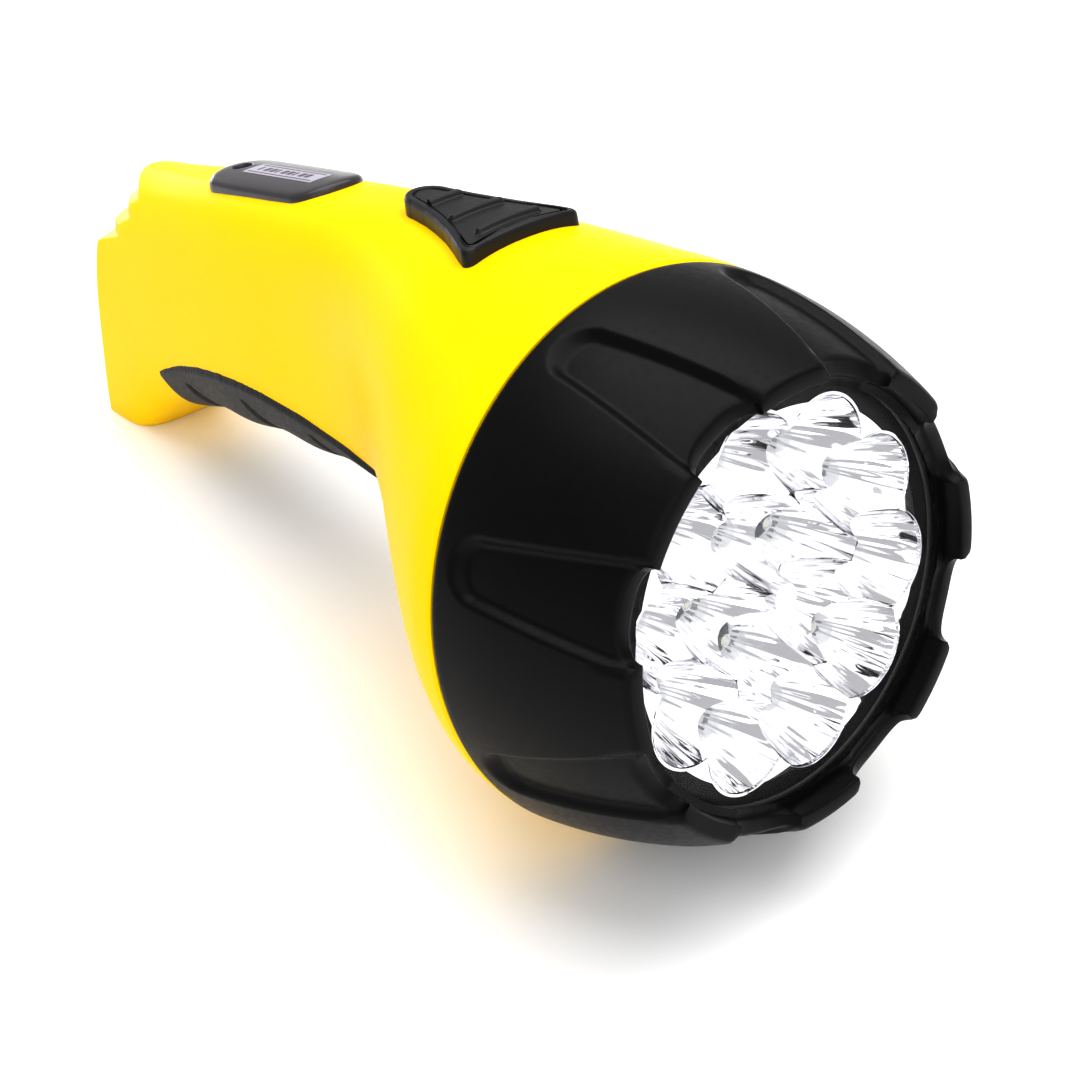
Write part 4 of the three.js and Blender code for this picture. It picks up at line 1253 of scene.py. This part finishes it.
def make_plug_blocks():
    """The carriage that holds the pins, and the ribbed thumb slide on its stem."""
    carriage = rounded_block((-137.3, -127.2), (-4.9, 4.9), 11.9, 0.7)
    settle(add_piece("plug_carriage_block", *carriage, BLACK_PLUG), "plug", "black_plug", "plug_carriage")
    parts = [
        rounded_block(THUMB_PLATE, (13.8, 15.3), 6.0, 0.5),
        rounded_block((-134.5, -130.0), (5.4, 14.2), 1.5, 0.2),
    ]
    for number in range(THUMB_RIBS):
        x = THUMB_RIB_START + number * THUMB_RIB_PITCH
        parts.append(rounded_block((x - 0.5, x + 0.5), (14.9, 15.75), 4.6, 0.35))
    thumb = add_piece("plug_thumb_grip", *join_parts(parts), BLACK_PLUG)
    settle(thumb, "plug", "black_plug", "plug_thumb_slide")


# ---------------------------------------------------------------- carried-over CAD nodes

def finish_cad_nodes():
    """Materials for the CAD nodes that are shown as they are."""
    looks = {
        "led_board": BOARD_WHITE, "switch_lever": BLACK_SWITCH, "slide_switch": STEEL,
        "driver_board": BOARD_GREEN,
        "battery": BATTERY, "battery_tab_positive": STEEL, "battery_tab_negative": STEEL,
        "charge_contact_1": BRASS, "charge_contact_2": BRASS,
        "charge_lead_1": WIRE_RED, "battery_lead_1": WIRE_RED, "lamp_lead_1": WIRE_RED,
        "charge_lead_2": WIRE_BLACK, "battery_lead_2": WIRE_BLACK, "lamp_lead_2": WIRE_BLACK,
    }
    for number in range(1, SHELL_SCREWS + 1):
        looks[f"shell_screw_{number}"] = STEEL
    for name, material in looks.items():
        mesh = frame["nodes"][name].data
        mesh.materials.clear()
        mesh.materials.append(material)


# ---------------------------------------------------------------- studio

CAMERA_OFFSET = Vector((0.156881, -0.160406, 0.164301))       # from the centre of the bezel's joint
CAMERA_HEADING = math.radians(49.283)
CAMERA_PITCH = math.radians(35.947)
CAMERA_LENS = 59.69


def make_camera():
    data = bpy.data.cameras.new("camera")
    data.lens = CAMERA_LENS
    data.sensor_width = 36.0
    data.clip_start = 0.01
    camera = bpy.data.objects.new("camera", data)
    camera.location = Vector(CENTRE) + CAMERA_OFFSET
    camera.rotation_euler = (math.pi / 2 - CAMERA_PITCH, 0.0, CAMERA_HEADING)
    bpy.context.scene.collection.objects.link(camera)
    bpy.context.scene.camera = camera


def make_light(name, place, target, size, power, color=(1.0, 1.0, 1.0)):
    data = bpy.data.lights.new(name, "AREA")
    data.shape = "RECTANGLE"
    data.size = size[0]
    data.size_y = size[1]
    data.energy = power
    data.color = color
    light = bpy.data.objects.new(name, data)
    light.location = place
    light.rotation_euler = (Vector(target) - Vector(place)).to_track_quat("-Z", "Y").to_euler()
    bpy.context.scene.collection.objects.link(light)


WORLD_STRENGTH = 0.55
FLOOR_HALF = 3.0


def make_studio():
    """Even pale surroundings, two soft lights, a small bluish one behind, and the floor."""
    world = bpy.data.worlds.new("studio")
    bpy.context.scene.world = world
    world.use_nodes = True
    background = world.node_tree.nodes["Background"]
    background.inputs["Color"].default_value = (1.0, 1.0, 1.0, 1.0)
    background.inputs["Strength"].default_value = WORLD_STRENGTH
    make_light("overhead", (-0.1, 0.2, 1.1), (0.0, 0.0, 0.03), (1.4, 1.2), 14.5)
    make_light("front", (0.95, -0.3, 0.75), (0.05, 0.0, 0.04), (1.9, 1.5), 8.0)
    make_light("edge", (-0.66, 0.1, 0.05), (0.06, 0.0, 0.08), (0.2, 0.07), 0.45, (0.8, 0.86, 1.0))
    mesh = bpy.data.meshes.new("floor")
    corners = [(x * FLOOR_HALF, y * FLOOR_HALF, 0) for x, y in ((-1, -1), (1, -1), (1, 1), (-1, 1))]
    mesh.from_pydata(corners, [], [(0, 1, 2, 3)])
    paper = new_material("studio_paper", (0.94, 0.94, 0.94), 0.8)
    vary(paper, noise(paper, 30, 2), "Roughness", 0.75, 0.85)
    mesh.materials.append(paper)
    floor = bpy.data.objects.new("floor", mesh)
    bpy.context.scene.collection.objects.link(floor)
    bpy.context.scene.view_settings.view_transform = "Standard"
    bpy.context.scene.view_settings.look = "Medium High Contrast"


make_camera()
make_studio()
make_body()
make_bezel()
make_lens()
make_reflector()
make_leds()
make_switch()
make_plate()
make_indicator()
make_label()
make_grip()
make_pins()
make_plug_blocks()
finish_cad_nodes()
